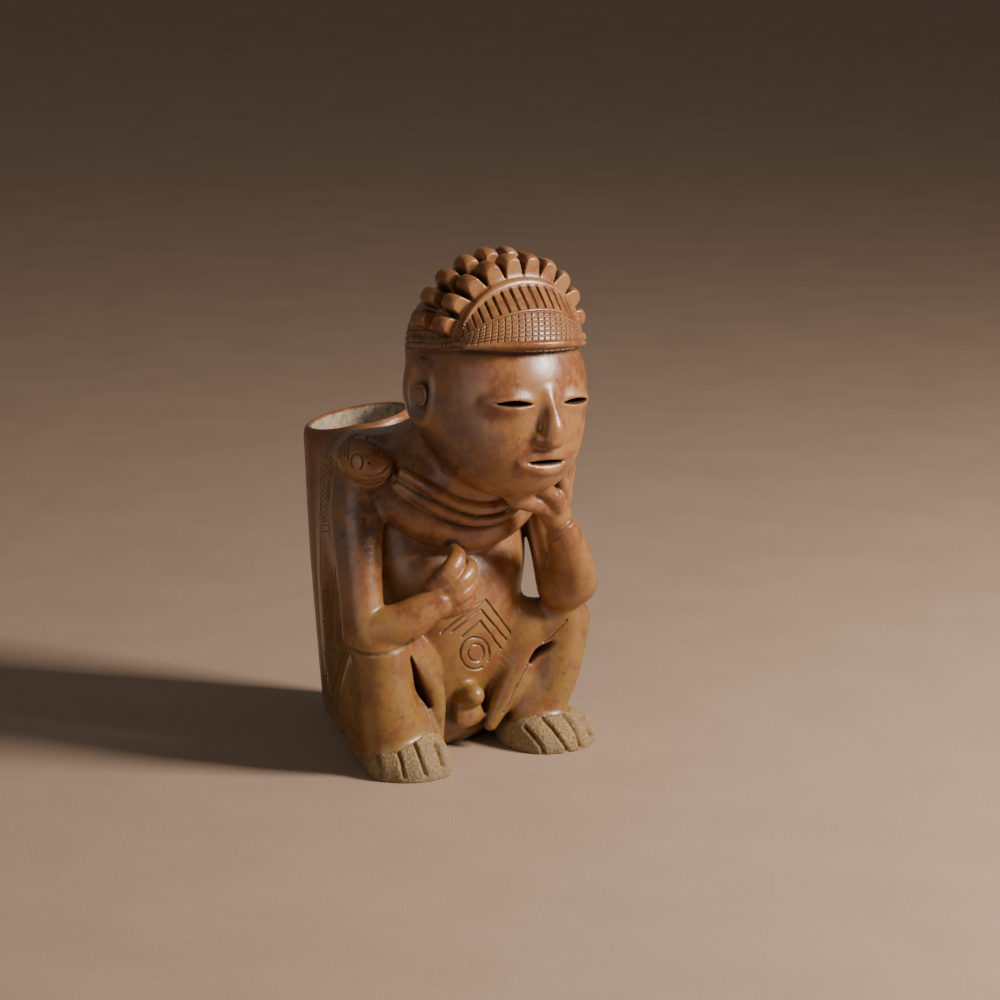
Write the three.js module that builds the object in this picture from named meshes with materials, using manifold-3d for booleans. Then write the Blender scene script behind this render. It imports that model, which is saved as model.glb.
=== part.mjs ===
// Basket-carrier effigy vessel: a squatting figure of fired clay that carries a tall open
// basket on its back. Millimetres, +Z up, the figure faces -Y and its left hand is on +X.
// Each mesh is one piece of clay as the potter forms it, before the pieces are luted together.

import * as THREE from 'three';
import { mergeVertices } from 'three/addons/utils/BufferGeometryUtils.js';
import Module from 'manifold-3d';

const wasm = await Module();
wasm.setup();

// Driving dimensions
const SEAM = 0.3;               // luting seam left between neighbouring pieces
const WALL = 7;                 // thickness of the hollow clay walls
const HEAD_AT = [0, -58, 262];  // centre of the head
const HEAD_ROLL = 4;            // degrees that the head leans towards the propping hand
const HEAD_WIDE = 62;           // half width of the head
const HEAD_DEEP = 63;           // half depth of the head
const HEAD_TALL = 64;           // half height of the head, jaw to crown
const BAND_LOW = 36;            // lower edge of the headband above the head's centre
const BAND_HIGH = 53;           // upper edge of the headband above the head's centre
const CREST_LOBES = 11;         // faceted lobes in each row of the crest
const BASKET_TALL = 219;        // height of the rim at the basket's axis
const BASKET_BACK = 106;        // distance of the basket's foot behind the origin
const BASKET_LEAN = 0.035;      // backward lean of the basket, per unit of height
const RIM_RADIUS = 39;
const FOOT_RADIUS = 31;
const RIM_RISE = [0.12, -0.1];  // slope of the rim, which is higher to the left and at the nape
const SHOULDER_TALL = 203;      // height of the shoulder joints
const TOE_COUNT = 5;

const burnished = { color: 0x9c5a32, roughness: 0.38, metalness: 0 };
const reddish = { color: 0x97492c, roughness: 0.42, metalness: 0 };
const sandy = { color: 0x9a7038, roughness: 0.75, metalness: 0 };

// Shape helpers

function radians(degrees) {
  return THREE.MathUtils.degToRad(degrees);
}

function positionsOnly(geometry) {
  geometry.deleteAttribute('normal');
  geometry.deleteAttribute('uv');
  return mergeVertices(geometry, 1e-4);
}

function solid(geometry) {
  const merged = positionsOnly(geometry);
  const vertProperties = new Float32Array(merged.attributes.position.array);
  const triVerts = new Uint32Array(merged.index.array);
  return new wasm.Manifold(new wasm.Mesh({ numProp: 3, vertProperties, triVerts }));
}

function cut(piece, ...tools) {
  return tools.reduce((rest, tool) => rest.subtract(tool), piece);
}

function join(...pieces) {
  return pieces.reduce((whole, piece) => whole.add(piece));
}

function geometryOf(piece) {
  const { vertProperties, triVerts } = piece.getMesh();
  const geometry = new THREE.BufferGeometry();
  geometry.setAttribute('position', new THREE.BufferAttribute(new Float32Array(vertProperties), 3));
  geometry.setIndex(new THREE.BufferAttribute(new Uint32Array(triVerts), 1));
  geometry.computeVertexNormals();
  return geometry;
}

// A ball stretched to three radii, turned by degrees about X, Y and Z, and moved to its centre.
function egg(center, radii, turn = [0, 0, 0], grow = 0, around = 16) {
  const geometry = new THREE.SphereGeometry(1, around, Math.round(around * 0.6));
  geometry.rotateX(Math.PI / 2);
  geometry.scale(radii[0] + grow, radii[1] + grow, radii[2] + grow);
  const angles = new THREE.Euler(radians(turn[0]), radians(turn[1]), radians(turn[2]), 'XYZ');
  geometry.applyMatrix4(new THREE.Matrix4().makeRotationFromEuler(angles));
  geometry.translate(...center);
  return solid(geometry);
}

function block(low, high) {
  const size = high.map((value, axis) => value - low[axis]);
  const geometry = new THREE.BoxGeometry(...size);
  geometry.translate(...low.map((value, axis) => value + size[axis] / 2));
  return solid(geometry);
}

// Closed skin over rings of points that all have the same count, with a fan on each end.
function skin(rings) {
  const around = rings[0].length;
  const points = rings.flat();
  const faces = [];
  for (let ring = 0; ring + 1 < rings.length; ring += 1) {
    for (let step = 0; step < around; step += 1) {
      const a = ring * around + step;
      const b = ring * around + ((step + 1) % around);
      faces.push(a, b, b + around, a, b + around, a + around);
    }
  }
  for (const [ring, flip] of [[rings[0], true], [rings[rings.length - 1], false]]) {
    const start = flip ? 0 : (rings.length - 1) * around;
    const middle = ring.reduce((sum, point) => sum.add(point), new THREE.Vector3());
    points.push(middle.divideScalar(around));
    for (let step = 0; step < around; step += 1) {
      const a = start + step;
      const b = start + ((step + 1) % around);
      faces.push(...(flip ? [b, a, points.length - 1] : [a, b, points.length - 1]));
    }
  }
  const geometry = new THREE.BufferGeometry().setFromPoints(points);
  geometry.setIndex(faces);
  return solid(geometry);
}

// A rolled limb of clay with rounded ends. Each station is [x, y, z, half width, half depth],
// with the width measured along `side`.
function limb(stations, grow = 0, side = [1, 0, 0], around = 12, steps = 8) {
  const curve = new THREE.CatmullRomCurve3(stations.map(([x, y, z]) => new THREE.Vector3(x, y, z)));
  const across = new THREE.Vector3(...side);
  const last = stations.length - 1;
  const halfSize = (t, entry) => {
    const place = Math.min(t * last, last - 1e-6);
    const index = Math.floor(place);
    const blend = THREE.MathUtils.smoothstep(place - index, 0, 1);
    const size = (station) => station[entry] ?? station[3];
    return THREE.MathUtils.lerp(size(stations[index]), size(stations[index + 1]), blend) + grow;
  };
  const ringAt = (t, slide, shrink) => {
    const along = curve.getTangent(t);
    const wide = across.clone().addScaledVector(along, -across.dot(along)).normalize();
    const deep = along.clone().cross(wide);
    const centre = curve.getPoint(t).addScaledVector(along, slide);
    const ring = [];
    for (let step = 0; step < around; step += 1) {
      const angle = (2 * Math.PI * step) / around;
      ring.push(centre.clone()
        .addScaledVector(wide, Math.cos(angle) * halfSize(t, 3) * shrink)
        .addScaledVector(deep, Math.sin(angle) * halfSize(t, 4) * shrink));
    }
    return ring;
  };
  const rings = [];
  const caps = [75, 50, 25];
  const capReach = (t) => Math.min(halfSize(t, 3), halfSize(t, 4));
  for (const angle of caps) {
    rings.push(ringAt(0, -capReach(0) * Math.sin(radians(angle)), Math.cos(radians(angle))));
  }
  for (let step = 0; step <= steps; step += 1) {
    rings.push(ringAt(step / steps, 0, 1));
  }
  for (const angle of [...caps].reverse()) {
    rings.push(ringAt(1, capReach(1) * Math.sin(radians(angle)), Math.cos(radians(angle))));
  }
  return skin(rings);
}

// Level outlines [height, centre y, half width, half depth], rounded a little towards a box.
function loft(levels, grow = 0, around = 24, squareness = 2.3) {
  const rings = levels.map(([z, y, wide, deep]) => {
    const ring = [];
    for (let step = 0; step < around; step += 1) {
      const angle = (2 * Math.PI * step) / around;
      const c = Math.cos(angle);
      const s = Math.sin(angle);
      const reach = (Math.abs(c) ** squareness + Math.abs(s) ** squareness) ** (-1 / squareness);
      ring.push(new THREE.Vector3(c * reach * (wide + grow), y + s * reach * (deep + grow), z));
    }
    return ring;
  });
  return skin(rings);
}

// A limb of the figure's left side, mirrored from the right side.
function mirrored(stations) {
  return stations.map(([x, ...rest]) => [-x, ...rest]);
}

const vessel = new THREE.Group();
const headGroup = new THREE.Group();
headGroup.position.set(...HEAD_AT);
headGroup.rotation.y = radians(HEAD_ROLL);
vessel.add(headGroup);

function place(name, piece, finish, parent = vessel) {
  const mesh = new THREE.Mesh(geometryOf(piece), new THREE.MeshStandardMaterial(finish));
  mesh.name = name;
  parent.add(mesh);
}

// A piece made about the head's centre, carried to where the leaning head is.
function fromHead(piece) {
  headGroup.updateMatrixWorld(true);
  return piece.transform(headGroup.matrixWorld.toArray());
}

// Head: about its own centre, face towards -Y

function headForm(grow, around = 30) {
  const geometry = new THREE.SphereGeometry(1, around, Math.round(around / 1.5));
  geometry.rotateX(Math.PI / 2);
  const points = geometry.attributes.position;
  for (let index = 0; index < points.count; index += 1) {
    const [x, y, z] = [points.getX(index), points.getY(index), points.getZ(index)];
    const jaw = THREE.MathUtils.smoothstep(-z, 0, 1);
    const full = THREE.MathUtils.smoothstep(Math.abs(z), 0, 1) * 0.05;
    const wide = (HEAD_WIDE + grow) * (1 - 0.1 * jaw + full);
    const deep = (HEAD_DEEP + grow) * (1 + full);
    const tall = HEAD_TALL + grow + 4 * jaw;
    points.setXYZ(index, x * wide, y * deep - 20 * jaw, z * tall);
  }
  return solid(geometry);
}

// A pointed slit between two arcs, cut straight through the front wall.
function slit([x, z], halfWide, rise, drop, reach) {
  const outline = new THREE.Shape();
  outline.moveTo(-halfWide, 0);
  outline.quadraticCurveTo(0, 2 * rise, halfWide, 0);
  outline.quadraticCurveTo(0, -2 * drop, -halfWide, 0);
  const geometry = new THREE.ExtrudeGeometry(outline, {
    depth: reach, bevelEnabled: false, curveSegments: 8,
  });
  geometry.rotateX(Math.PI / 2);
  geometry.translate(x, -HEAD_DEEP + 24, z);
  return solid(geometry);
}

const EYE = { x: 25, z: 2, halfWide: 12.5 };
const MOUTH = { z: -37, halfWide: 15 };
const EAR_OUT = 59;
const EAR_AT = { y: 1, z: 8 };
const NECK_HOLE = { y: 24, radius: 22 };

function earHollow(side, grow = 0) {
  return egg([side * (EAR_OUT + 6), EAR_AT.y, EAR_AT.z], [10, 13, 18], [0, 0, 0], grow, 16);
}

function buildHead() {
  let shell = headForm(0);
  for (const side of [-1, 1]) {
    shell = join(shell, egg([side * EYE.x, -49, EYE.z], [18, 12, 10.5], [0, 0, side * 22], 0, 16));
  }
  shell = cut(shell, headForm(-WALL - 2, 18));
  for (const side of [-1, 1]) {
    shell = cut(shell, slit([side * EYE.x, EYE.z], EYE.halfWide, 2.6, 1.4, 50), earHollow(side));
  }
  shell = cut(shell, slit([0, MOUTH.z], MOUTH.halfWide, 1.6, 1.2, 50));
  const neck = new THREE.CylinderGeometry(NECK_HOLE.radius, NECK_HOLE.radius, 70, 24);
  neck.rotateX(Math.PI / 2);
  neck.translate(0, NECK_HOLE.y, -HEAD_TALL);
  return cut(shell, solid(neck));
}

place('head', buildHead(), burnished, headGroup);

const overHead = headForm(SEAM);

function buildNose() {
  const bridge = limb([
    [0, -58, 8, 4, 5], [0, -64, -2, 5, 6], [0, -69, -13, 7, 7], [0, -70, -21, 8.5, 6],
  ], 0, [1, 0, 0], 12, 8);
  const wings = [-1, 1].map((side) => egg([side * 8, -63, -21], [5.5, 7, 5], [0, 0, 0], 0, 12));
  return cut(join(bridge, ...wings), overHead);
}

function lipForm(rise, sag, thick, grow = 0) {
  const points = [];
  for (let step = -3; step <= 3; step += 1) {
    const across = step / 3;
    const x = across * (MOUTH.halfWide + 4);
    const y = -HEAD_DEEP * Math.sqrt(1 - (x / HEAD_WIDE) ** 2) * 0.9 - 6.5;
    const z = MOUTH.z + rise + sag * across ** 2;
    points.push([x, y, z, thick * (1 - 0.45 * across ** 2)]);
  }
  return limb(points, grow, [0, 0, 1], 10, 12);
}

place('nose', buildNose(), burnished, headGroup);
place('upper_lip', cut(lipForm(5.2, -4, 3.4), overHead), burnished, headGroup);
place('lower_lip', cut(lipForm(-5.4, 4, 3.6), overHead, lipForm(5.2, -4, 3.4, SEAM)), burnished,
  headGroup);

function buildEar(side) {
  const ring = new THREE.TorusGeometry(1, 0.19, 8, 20);
  ring.rotateY(Math.PI / 2);
  ring.scale(16, 15, 20);
  ring.rotateY(radians(side * 4));
  ring.translate(side * (EAR_OUT + 0.2), EAR_AT.y, EAR_AT.z);
  return cut(solid(ring), overHead);
}

function buildSpool(side) {
  const disc = new THREE.CylinderGeometry(7, 7, 6, 20);
  disc.rotateZ(Math.PI / 2);
  disc.translate(side * (EAR_OUT - 0.4), EAR_AT.y + 1, EAR_AT.z - 4);
  return solid(disc).intersect(earHollow(side, -SEAM));
}

for (const [word, side] of [['right', -1], ['left', 1]]) {
  place(`${word}_ear_rim`, buildEar(side), burnished, headGroup);
  place(`${word}_ear_spool`, buildSpool(side), burnished, headGroup);
}

// Headdress: crests, cap, woven band, brow edge and fan, still about the head's centre

const CREST_FLOOR = BAND_HIGH - 12;

// A scalloped wall that stands across the head, ear to ear, with notches between its lobes.
function crest({ y, halfWide, tall, thick }, grow = 0) {
  const stepsPerLobe = 4;
  const upper = CREST_LOBES * stepsPerLobe;
  const across = [-1, -0.86, -0.5, 0, 0.5, 0.86, 1];
  const rings = across.map((place) => {
    const round = Math.sqrt(1 - (place * 0.86) ** 2);
    const ring = [];
    for (let step = 0; step <= upper; step += 1) {
      const angle = radians(-96 + (192 * step) / upper);
      const notch = 1 - Math.abs(Math.sin((Math.PI * step) / stepsPerLobe)) ** 0.7;
      const reach = 0.74 + 0.26 * round - 0.11 * notch * round;
      ring.push(new THREE.Vector3(
        Math.sin(angle) * (halfWide + grow) * reach,
        y + place * (thick + grow),
        CREST_FLOOR + Math.cos(angle) * (tall + grow) * reach,
      ));
    }
    ring.push(new THREE.Vector3(0, y + place * (thick + grow), CREST_FLOOR - 16));
    return ring;
  });
  return skin(rings);
}

const frontCrest = { y: -19, halfWide: 59, tall: 55, thick: 13 };
const rearCrest = { y: 9, halfWide: 59, tall: 58, thick: 13 };
const aboveBand = block([-90, -90, BAND_HIGH + SEAM], [90, 90, 120]);

function capForm(grow = 0) {
  return egg([0, 16, 30], [57, 44, 50], [0, 0, 0], grow, 24);
}

function bandForm(grow = 0) {
  const slab = block([-90, -90, BAND_LOW - grow], [90, 90, BAND_HIGH + grow]);
  return headForm(3.2 + grow, 24).intersect(slab);
}

// The fan stands on the forehead and leans back against the front crest.
function fanForm() {
  const rings = [];
  const columns = 16;
  const rows = 4;
  for (let column = 0; column <= columns; column += 1) {
    const across = -1 + (2 * column) / columns;
    const brow = radians(62 * across);
    const arch = radians(84 * across);
    const low = new THREE.Vector3(Math.sin(brow) * 61, -Math.cos(brow) * 62, BAND_LOW - 1);
    const high = new THREE.Vector3(Math.sin(arch) * 49, -30, CREST_FLOOR + Math.cos(arch) * 43);
    const front = [];
    const back = [];
    for (let row = 0; row <= rows; row += 1) {
      const point = low.clone().lerp(high, row / rows);
      const bulge = 5 * Math.sin((Math.PI * row) / rows) * Math.cos(arch);
      front.push(point.clone().add(new THREE.Vector3(0, -bulge, 0)));
      back.unshift(point.clone().multiply(new THREE.Vector3(0.78, 0.42, 0.86)));
    }
    rings.push([...front, ...back]);
  }
  return skin(rings.reverse());
}

function browForm(grow = 0) {
  const points = [];
  for (let step = -5; step <= 5; step += 1) {
    const angle = radians(step * 12.4);
    points.push([
      Math.sin(angle) * 59, -Math.cos(angle) * 62, BAND_LOW + 2 - 1.2 * (step / 5) ** 2, 3.6, 3.6,
    ]);
  }
  return limb(points, grow, [0, 0, 1], 8, 16);
}

const crestFront = cut(crest(frontCrest).intersect(aboveBand), overHead);
const crestRear = cut(crest(rearCrest).intersect(aboveBand), overHead, crest(frontCrest, SEAM));
const crests = join(crest(frontCrest, SEAM), crest(rearCrest, SEAM));
const crestsAbove = crests.intersect(block([-90, -90, BAND_HIGH], [90, 90, 120]));
const capStart = rearCrest.y + rearCrest.thick + 2 * SEAM;
const capBehind = block([-90, capStart, BAND_HIGH + SEAM], [90, 90, 120]);

place('front_crest', crestFront, burnished, headGroup);
place('rear_crest', crestRear, burnished, headGroup);
place('headdress_cap', cut(capForm().intersect(capBehind), overHead, crestsAbove),
  burnished, headGroup);
place('brow_edge', cut(browForm(), overHead), burnished, headGroup);
place('fan', cut(fanForm(), overHead, crestsAbove, browForm(SEAM), bandForm(SEAM)), burnished,
  headGroup);
place('headband', cut(bandForm(), overHead, browForm(SEAM)), burnished, headGroup);

// Basket: a tall cup, its rim sloped up towards the nape

function basketForm(profile) {
  const geometry = new THREE.LatheGeometry(profile.map(([r, z]) => new THREE.Vector2(r, z)), 32);
  geometry.rotateX(Math.PI / 2);
  const points = geometry.attributes.position;
  for (let index = 0; index < points.count; index += 1) {
    const [x, y, z] = [points.getX(index), points.getY(index), points.getZ(index)];
    const rise = RIM_RISE[0] * x + RIM_RISE[1] * y;
    points.setY(index, BASKET_BACK + y + BASKET_LEAN * z);
    points.setZ(index, z + rise * (z / BASKET_TALL) ** 2);
  }
  return solid(geometry);
}

function basketOutside(grow) {
  return [
    [0, -grow], [FOOT_RADIUS - 5 + grow, -grow], [FOOT_RADIUS - 1 + grow, 3],
    [FOOT_RADIUS + grow, 10], [33.5 + grow, 70], [35.5 + grow, 140], [36.5 + grow, 195],
    [RIM_RADIUS + grow, 211], [RIM_RADIUS - 1 + grow, 217], [RIM_RADIUS - 4, BASKET_TALL + grow],
    ...(grow > 0 ? [[0, BASKET_TALL + grow]] : []),
  ];
}

const basketInside = [
  [RIM_RADIUS - 7, 217], [RIM_RADIUS - 8, 211], [29, 190], [28, 120], [25, 30], [21, 14], [12, 10],
  [0, 9],
];

const basketSolid = basketForm(basketOutside(SEAM));
place('basket', basketForm([...basketOutside(0), ...basketInside]), reddish);

// Torso: height, centre y, half width, half depth of each level

const torsoLevels = [
  [0, 40, 48, 41], [8, 38, 52, 48], [36, 34, 55, 53], [70, 28, 57, 59], [105, 23, 58, 62],
  [130, 24, 59, 61], [155, 29, 61, 56], [183, 34, 66, 52], [202, 36, 64, 49], [214, 38, 56, 42],
  [222, 40, 42, 30],
];
const hollowLevels = torsoLevels.filter(([z]) => z < SHOULDER_TALL)
  .map(([z, ...rest]) => [THREE.MathUtils.clamp(z, WALL, SHOULDER_TALL - 3), ...rest]);

function torsoForm(grow = 0) {
  return loft(torsoLevels.map(([z, ...rest], index) => {
    const end = index === torsoLevels.length - 1 ? grow : 0;
    return [z + end, ...rest];
  }), grow);
}

function neckBore() {
  const bore = new THREE.CylinderGeometry(16, 16, 60, 20);
  bore.rotateX(radians(-32));
  bore.translate(0, -18, 192);
  return solid(bore);
}

const overTorso = torsoForm(SEAM);
const overHeadBody = fromHead(overHead);
const torsoHollow = cut(loft(hollowLevels, -WALL - 1), basketForm(basketOutside(WALL)));
place('torso', cut(torsoForm(), basketSolid, torsoHollow, neckBore()), burnished);

const neckStations = [[0, 16, 198, 48, 27], [0, -10, 206, 45, 28], [0, -36, 202, 34, 22]];
const neckForm = (grow = 0) => limb(neckStations, grow, [1, 0, 0], 18, 6);
place('neck', cut(neckForm(), overTorso, overHeadBody, neckBore()), burnished);

// Chest mass and the two strands above it, slung between the shoulders

const chestStations = [
  [-62, -12, 192, 13], [-44, -24, 176, 14], [-22, -31, 165, 14], [0, -33, 162, 14],
  [22, -31, 165, 14], [44, -24, 176, 14], [62, -12, 192, 13],
];
const lowerStrand = [
  [-52, -30, 194, 6], [-30, -43, 180, 6], [0, -47, 173, 6], [30, -43, 180, 6], [52, -30, 194, 6],
];
const upperStrand = [
  [-48, -34, 204, 6], [-28, -50, 191, 6], [0, -56, 185, 6], [28, -50, 191, 6], [48, -34, 204, 6],
];
const chestForm = (grow = 0) => limb(chestStations, grow, [0, 1, 0], 12, 14);
const strandForm = (stations, grow = 0) => limb(stations, grow, [0, 1, 0], 8, 14);
const overNeck = neckForm(SEAM);
place('chest', cut(chestForm(), overTorso, overNeck, overHeadBody), burnished);
const overChest = chestForm(SEAM);
const trunk = [overTorso, overNeck, overChest, overHeadBody];
place('lower_neck_strand', cut(strandForm(lowerStrand), ...trunk), burnished);
place('upper_neck_strand', cut(strandForm(upperStrand), ...trunk, strandForm(lowerStrand, SEAM)),
  burnished);
trunk.push(strandForm(lowerStrand, SEAM), strandForm(upperStrand, SEAM));

// Legs: thigh, shin and foot, flat on the ground

const ground = block([-200, -200, -60], [200, 200, 0]);
const thighStations = [
  [-74, -28, 86, 18, 18], [-54, -10, 60, 35, 22], [-49, 2, 36, 33, 26], [-47, 18, 28, 27, 27],
];
const shinStations = [[-78, -34, 86, 17, 17], [-75, -35, 54, 20, 17], [-66, -30, 22, 23, 20]];
const footAt = [-60, -32, 6];

function footForm(side, splay, grow = 0) {
  const turn = radians(splay) * side;
  const swing = ([x, y, z]) => [
    side * -footAt[0] + x * Math.cos(turn) - y * Math.sin(turn),
    footAt[1] + x * Math.sin(turn) + y * Math.cos(turn),
    z,
  ];
  const spin = [0, 0, splay * side];
  const instep = egg(swing([0, 4, 5]), [29, 34, 25], spin, grow, 18);
  const toes = [];
  for (let toe = 0; toe < TOE_COUNT; toe += 1) {
    const across = toe / (TOE_COUNT - 1) - 0.5;
    const reach = -21 + 26 * across ** 2;
    toes.push(egg(swing([across * 46, reach, 5]), [7.4, 16, 14], spin, grow, 10));
  }
  return join(instep, ...toes);
}

const legs = {};
for (const [word, side, splay] of [['right', -1, -20], ['left', 1, 8]]) {
  const own = (stations) => (side < 0 ? stations : mirrored(stations));
  const thigh = (grow = 0) => limb(own(thighStations), grow, [1, 0, 0], 16, 9);
  const shin = (grow = 0) => limb(own(shinStations), grow, [1, 0, 0], 14, 7);
  const foot = (grow = 0) => footForm(side, side * splay, grow);
  place(`${word}_thigh`, cut(thigh(), overTorso, ground), burnished);
  place(`${word}_shin`, cut(shin(), overTorso, thigh(SEAM), ground), burnished);
  place(`${word}_foot`, cut(foot(), overTorso, thigh(SEAM), shin(SEAM), ground), sandy);
  legs[word] = [thigh(SEAM), shin(SEAM), foot(SEAM)];
}

place('front_boss', cut(
  limb([[0, -14, 40, 10], [0, -22, 36, 9.5], [0, -26, 34, 8.5]], 0, [1, 0, 0], 14, 6), overTorso,
), burnished);

// Arms: the right fist lies on the belly, the left hand props the jaw

const upperArms = {
  right: [[-70, 2, 204, 18], [-79, -6, 178, 18], [-84, -18, 140, 16], [-86, -28, 99, 15]],
  left: [[70, 2, 204, 18], [74, -6, 178, 16], [72, -20, 146, 14], [73, -42, 115, 15]],
};
const forearms = {
  right: [[-86, -30, 101, 16], [-66, -43, 107, 14.5], [-43, -52, 121, 11]],
  left: [[74, -47, 117, 17.5], [63, -59, 139, 15], [47, -70, 163, 11.5]],
};

function fist(grow = 0) {
  const palm = egg([-33, -50, 126], [13, 10, 15], [0, 30, 0], grow, 14);
  const fingers = [];
  for (let finger = 0; finger < 4; finger += 1) {
    const z = 142 - finger * 9.6;
    fingers.push(limb([[-38, -53, z - 3, 5.2], [-28, -59, z, 5.7], [-17, -54, z + 1, 5]],
      grow, [0, 0, 1], 8, 4));
  }
  return join(palm, ...fingers);
}

function proppingHand(grow = 0) {
  const palm = egg([36, -75, 178], [10, 8, 15], [0, -25, 0], grow, 16);
  const fingers = [];
  for (let finger = 0; finger < 4; finger += 1) {
    const x = 14 + finger * 8;
    fingers.push(limb([[36, -76, 178, 5], [(x + 36) / 2, -81, 188, 5], [x, -84, 197, 4.4]],
      grow, [0, 1, 0], 8, 4));
  }
  return join(palm, ...fingers);
}

function serpentHead(side, grow = 0) {
  return egg([side * 77, -16, 217], [18, 23, 16], [24, 0, side * -25], grow, 18);
}

for (const [word, side, hand] of [['right', -1, fist], ['left', 1, proppingHand]]) {
  const upper = (grow = 0) => limb(upperArms[word], grow, [1, 0, 0], 14, 9);
  const fore = (grow = 0) => limb(forearms[word], grow, [0, 1, 0], 12, 6);
  const near = [...trunk, ...legs[word]];
  place(`${word}_upper_arm`, cut(upper(), ...near), burnished);
  place(`${word}_forearm`, cut(fore(), ...near, upper(SEAM)), burnished);
  place(`${word}_hand`, cut(hand(), ...near, fore(SEAM)), burnished);
  place(`${word}_serpent_head`, cut(serpentHead(side), ...near, upper(SEAM), basketSolid), burnished);
}

// The origin is on the ground, under the middle of the whole vessel.
const extent = new THREE.Box3().setFromObject(vessel);
const middle = extent.getCenter(new THREE.Vector3());
vessel.position.set(-middle.x, -middle.y, -extent.min.z);

export default vessel;
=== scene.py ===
"""Basket-carrier effigy vessel of burnished, fired clay, sculpted as one skin over the frame.

Lengths are millimetres in the figure's own frame: it faces -Y, its left hand is on +X, and
the plumb line through the shoulders is at x = y = 0. Each piece is then carried to the frame.
"""
import math
import bpy
import numpy as np
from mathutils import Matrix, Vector


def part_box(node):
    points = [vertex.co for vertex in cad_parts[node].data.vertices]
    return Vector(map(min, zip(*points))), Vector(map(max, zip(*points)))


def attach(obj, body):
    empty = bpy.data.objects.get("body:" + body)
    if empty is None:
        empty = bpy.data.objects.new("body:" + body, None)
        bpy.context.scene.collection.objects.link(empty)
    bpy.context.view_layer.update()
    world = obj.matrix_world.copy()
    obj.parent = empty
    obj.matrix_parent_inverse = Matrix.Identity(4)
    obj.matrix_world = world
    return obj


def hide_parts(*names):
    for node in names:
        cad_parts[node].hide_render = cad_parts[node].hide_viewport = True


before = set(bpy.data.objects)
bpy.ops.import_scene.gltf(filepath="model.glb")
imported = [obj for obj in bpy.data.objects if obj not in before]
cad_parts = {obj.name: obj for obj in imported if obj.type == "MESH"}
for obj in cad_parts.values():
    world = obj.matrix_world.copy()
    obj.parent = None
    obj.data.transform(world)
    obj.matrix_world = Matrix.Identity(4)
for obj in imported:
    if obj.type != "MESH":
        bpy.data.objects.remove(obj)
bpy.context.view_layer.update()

CELL = 0.9        # grain of the clay block
REFINED = [0.62, 0.42]  # longest edges near the ornament, by round
BLOCK_LOW = (-106, -141, -4)
BLOCK_HIGH = (101, 158, 367)
FAR = 30.0                               # distances are kept no larger than this
SIDES = (("right", -1), ("left", 1))

HEAD_AT = np.array([0.0, -58.0, 262.0])
HEAD_TILT = 4                            # degrees about the front-to-back line
HEAD_HALF = (62, 63, 64)
EYE_OUT, EYE_HIGH, MOUTH_HIGH = 25, 2, -37
EAR_HIGH, SPOOL_BACK = 2, 2
TORSO_TALL = 219
BASKET_BACK = 106
BASKET_LEAN = 0.035
BASKET_TALL = 219
RIM_RADIUS = 39
RIM_HEIGHT = 211

AZIMUTH, ELEVATION = math.radians(-35), math.radians(13)
VIEW_AT = np.array([3.0, -60.0, 187.0])  # what the camera looks at
VIEW_FAR = 2400.0
VIEW_WIDE = 680.0
TOWARD = np.array([math.sin(AZIMUTH) * math.cos(ELEVATION),
                   -math.cos(AZIMUTH) * math.cos(ELEVATION), math.sin(ELEVATION)])

basket_low, basket_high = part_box("basket")
SHIFT = np.array([
    500 * (basket_low[0] + basket_high[0]),
    1000 * basket_low[1] - (BASKET_BACK - RIM_RADIUS + BASKET_LEAN * RIM_HEIGHT),
    0.0,
])


def smooth(value, low=0.0, high=1.0):
    t = np.clip((value - low) / (high - low), 0, 1)
    return t * t * (3 - 2 * t)


def turned(degrees):
    """Turning matrix for degrees about X, then Y, then Z of the turned thing."""
    total = np.eye(3)
    for axis, angle in enumerate(degrees):
        p, q = (axis + 1) % 3, (axis + 2) % 3
        turn = np.eye(3)
        turn[p, p] = turn[q, q] = math.cos(math.radians(angle))
        turn[q, p] = math.sin(math.radians(angle))
        turn[p, q] = -turn[q, p]
        total = total @ turn
    return total


HEAD_TURN = turned((0, HEAD_TILT, 0))


def on_head(points):
    """Points about the head's centre, carried to where the leaning head is."""
    return np.asarray(points, float) @ HEAD_TURN.T + HEAD_AT


def along_columns(matrix, dx, dy, dz):
    return tuple(matrix[0, k] * dx + matrix[1, k] * dy + matrix[2, k] * dz for k in range(3))


def from_head(x, y, z):
    """Coordinates about the head's centre of places in the figure's frame."""
    return along_columns(HEAD_TURN, x - HEAD_AT[0], y - HEAD_AT[1], z - HEAD_AT[2])


def sided(side, rows):
    """Rows of numbers whose first, x, is counted toward one side of the figure."""
    return [(side * row[0], *row[1:]) for row in rows]


def both_ways(rows):
    """Stations from one side to the middle, then on to the other side."""
    return rows + sided(-1, rows[-2::-1])


def shared(*fields):
    """The field of what several forms have in common."""
    most = fields[0]
    for field in fields[1:]:
        most = np.maximum(most, field)
    return np.clip(most, -FAR, FAR).astype(np.float32)


def between_four(table, i, j):
    """A table read between its nearest four places."""
    i, j = (np.clip(spot, 0, count - 1.01) for spot, count in zip((i, j), table.shape))
    ii, jj = i.astype(np.int32), j.astype(np.int32)
    s, t = i - ii, j - jj
    return ((1 - s) * (1 - t) * table[ii, jj] + s * (1 - t) * table[ii + 1, jj]
            + (1 - s) * t * table[ii, jj + 1] + s * t * table[ii + 1, jj + 1])


def line_distance(x, y, line):
    """Distance to an open line of points, in a plane."""
    best = np.full(x.shape, 1e3)
    for (ax, ay), (bx, by) in zip(line, line[1:]):
        ex, ey = bx - ax, by - ay
        t = np.clip(((x - ax) * ex + (y - ay) * ey) / (ex * ex + ey * ey), 0, 1)
        best = np.minimum(best, np.hypot(x - ax - t * ex, y - ay - t * ey))
    return best


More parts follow.
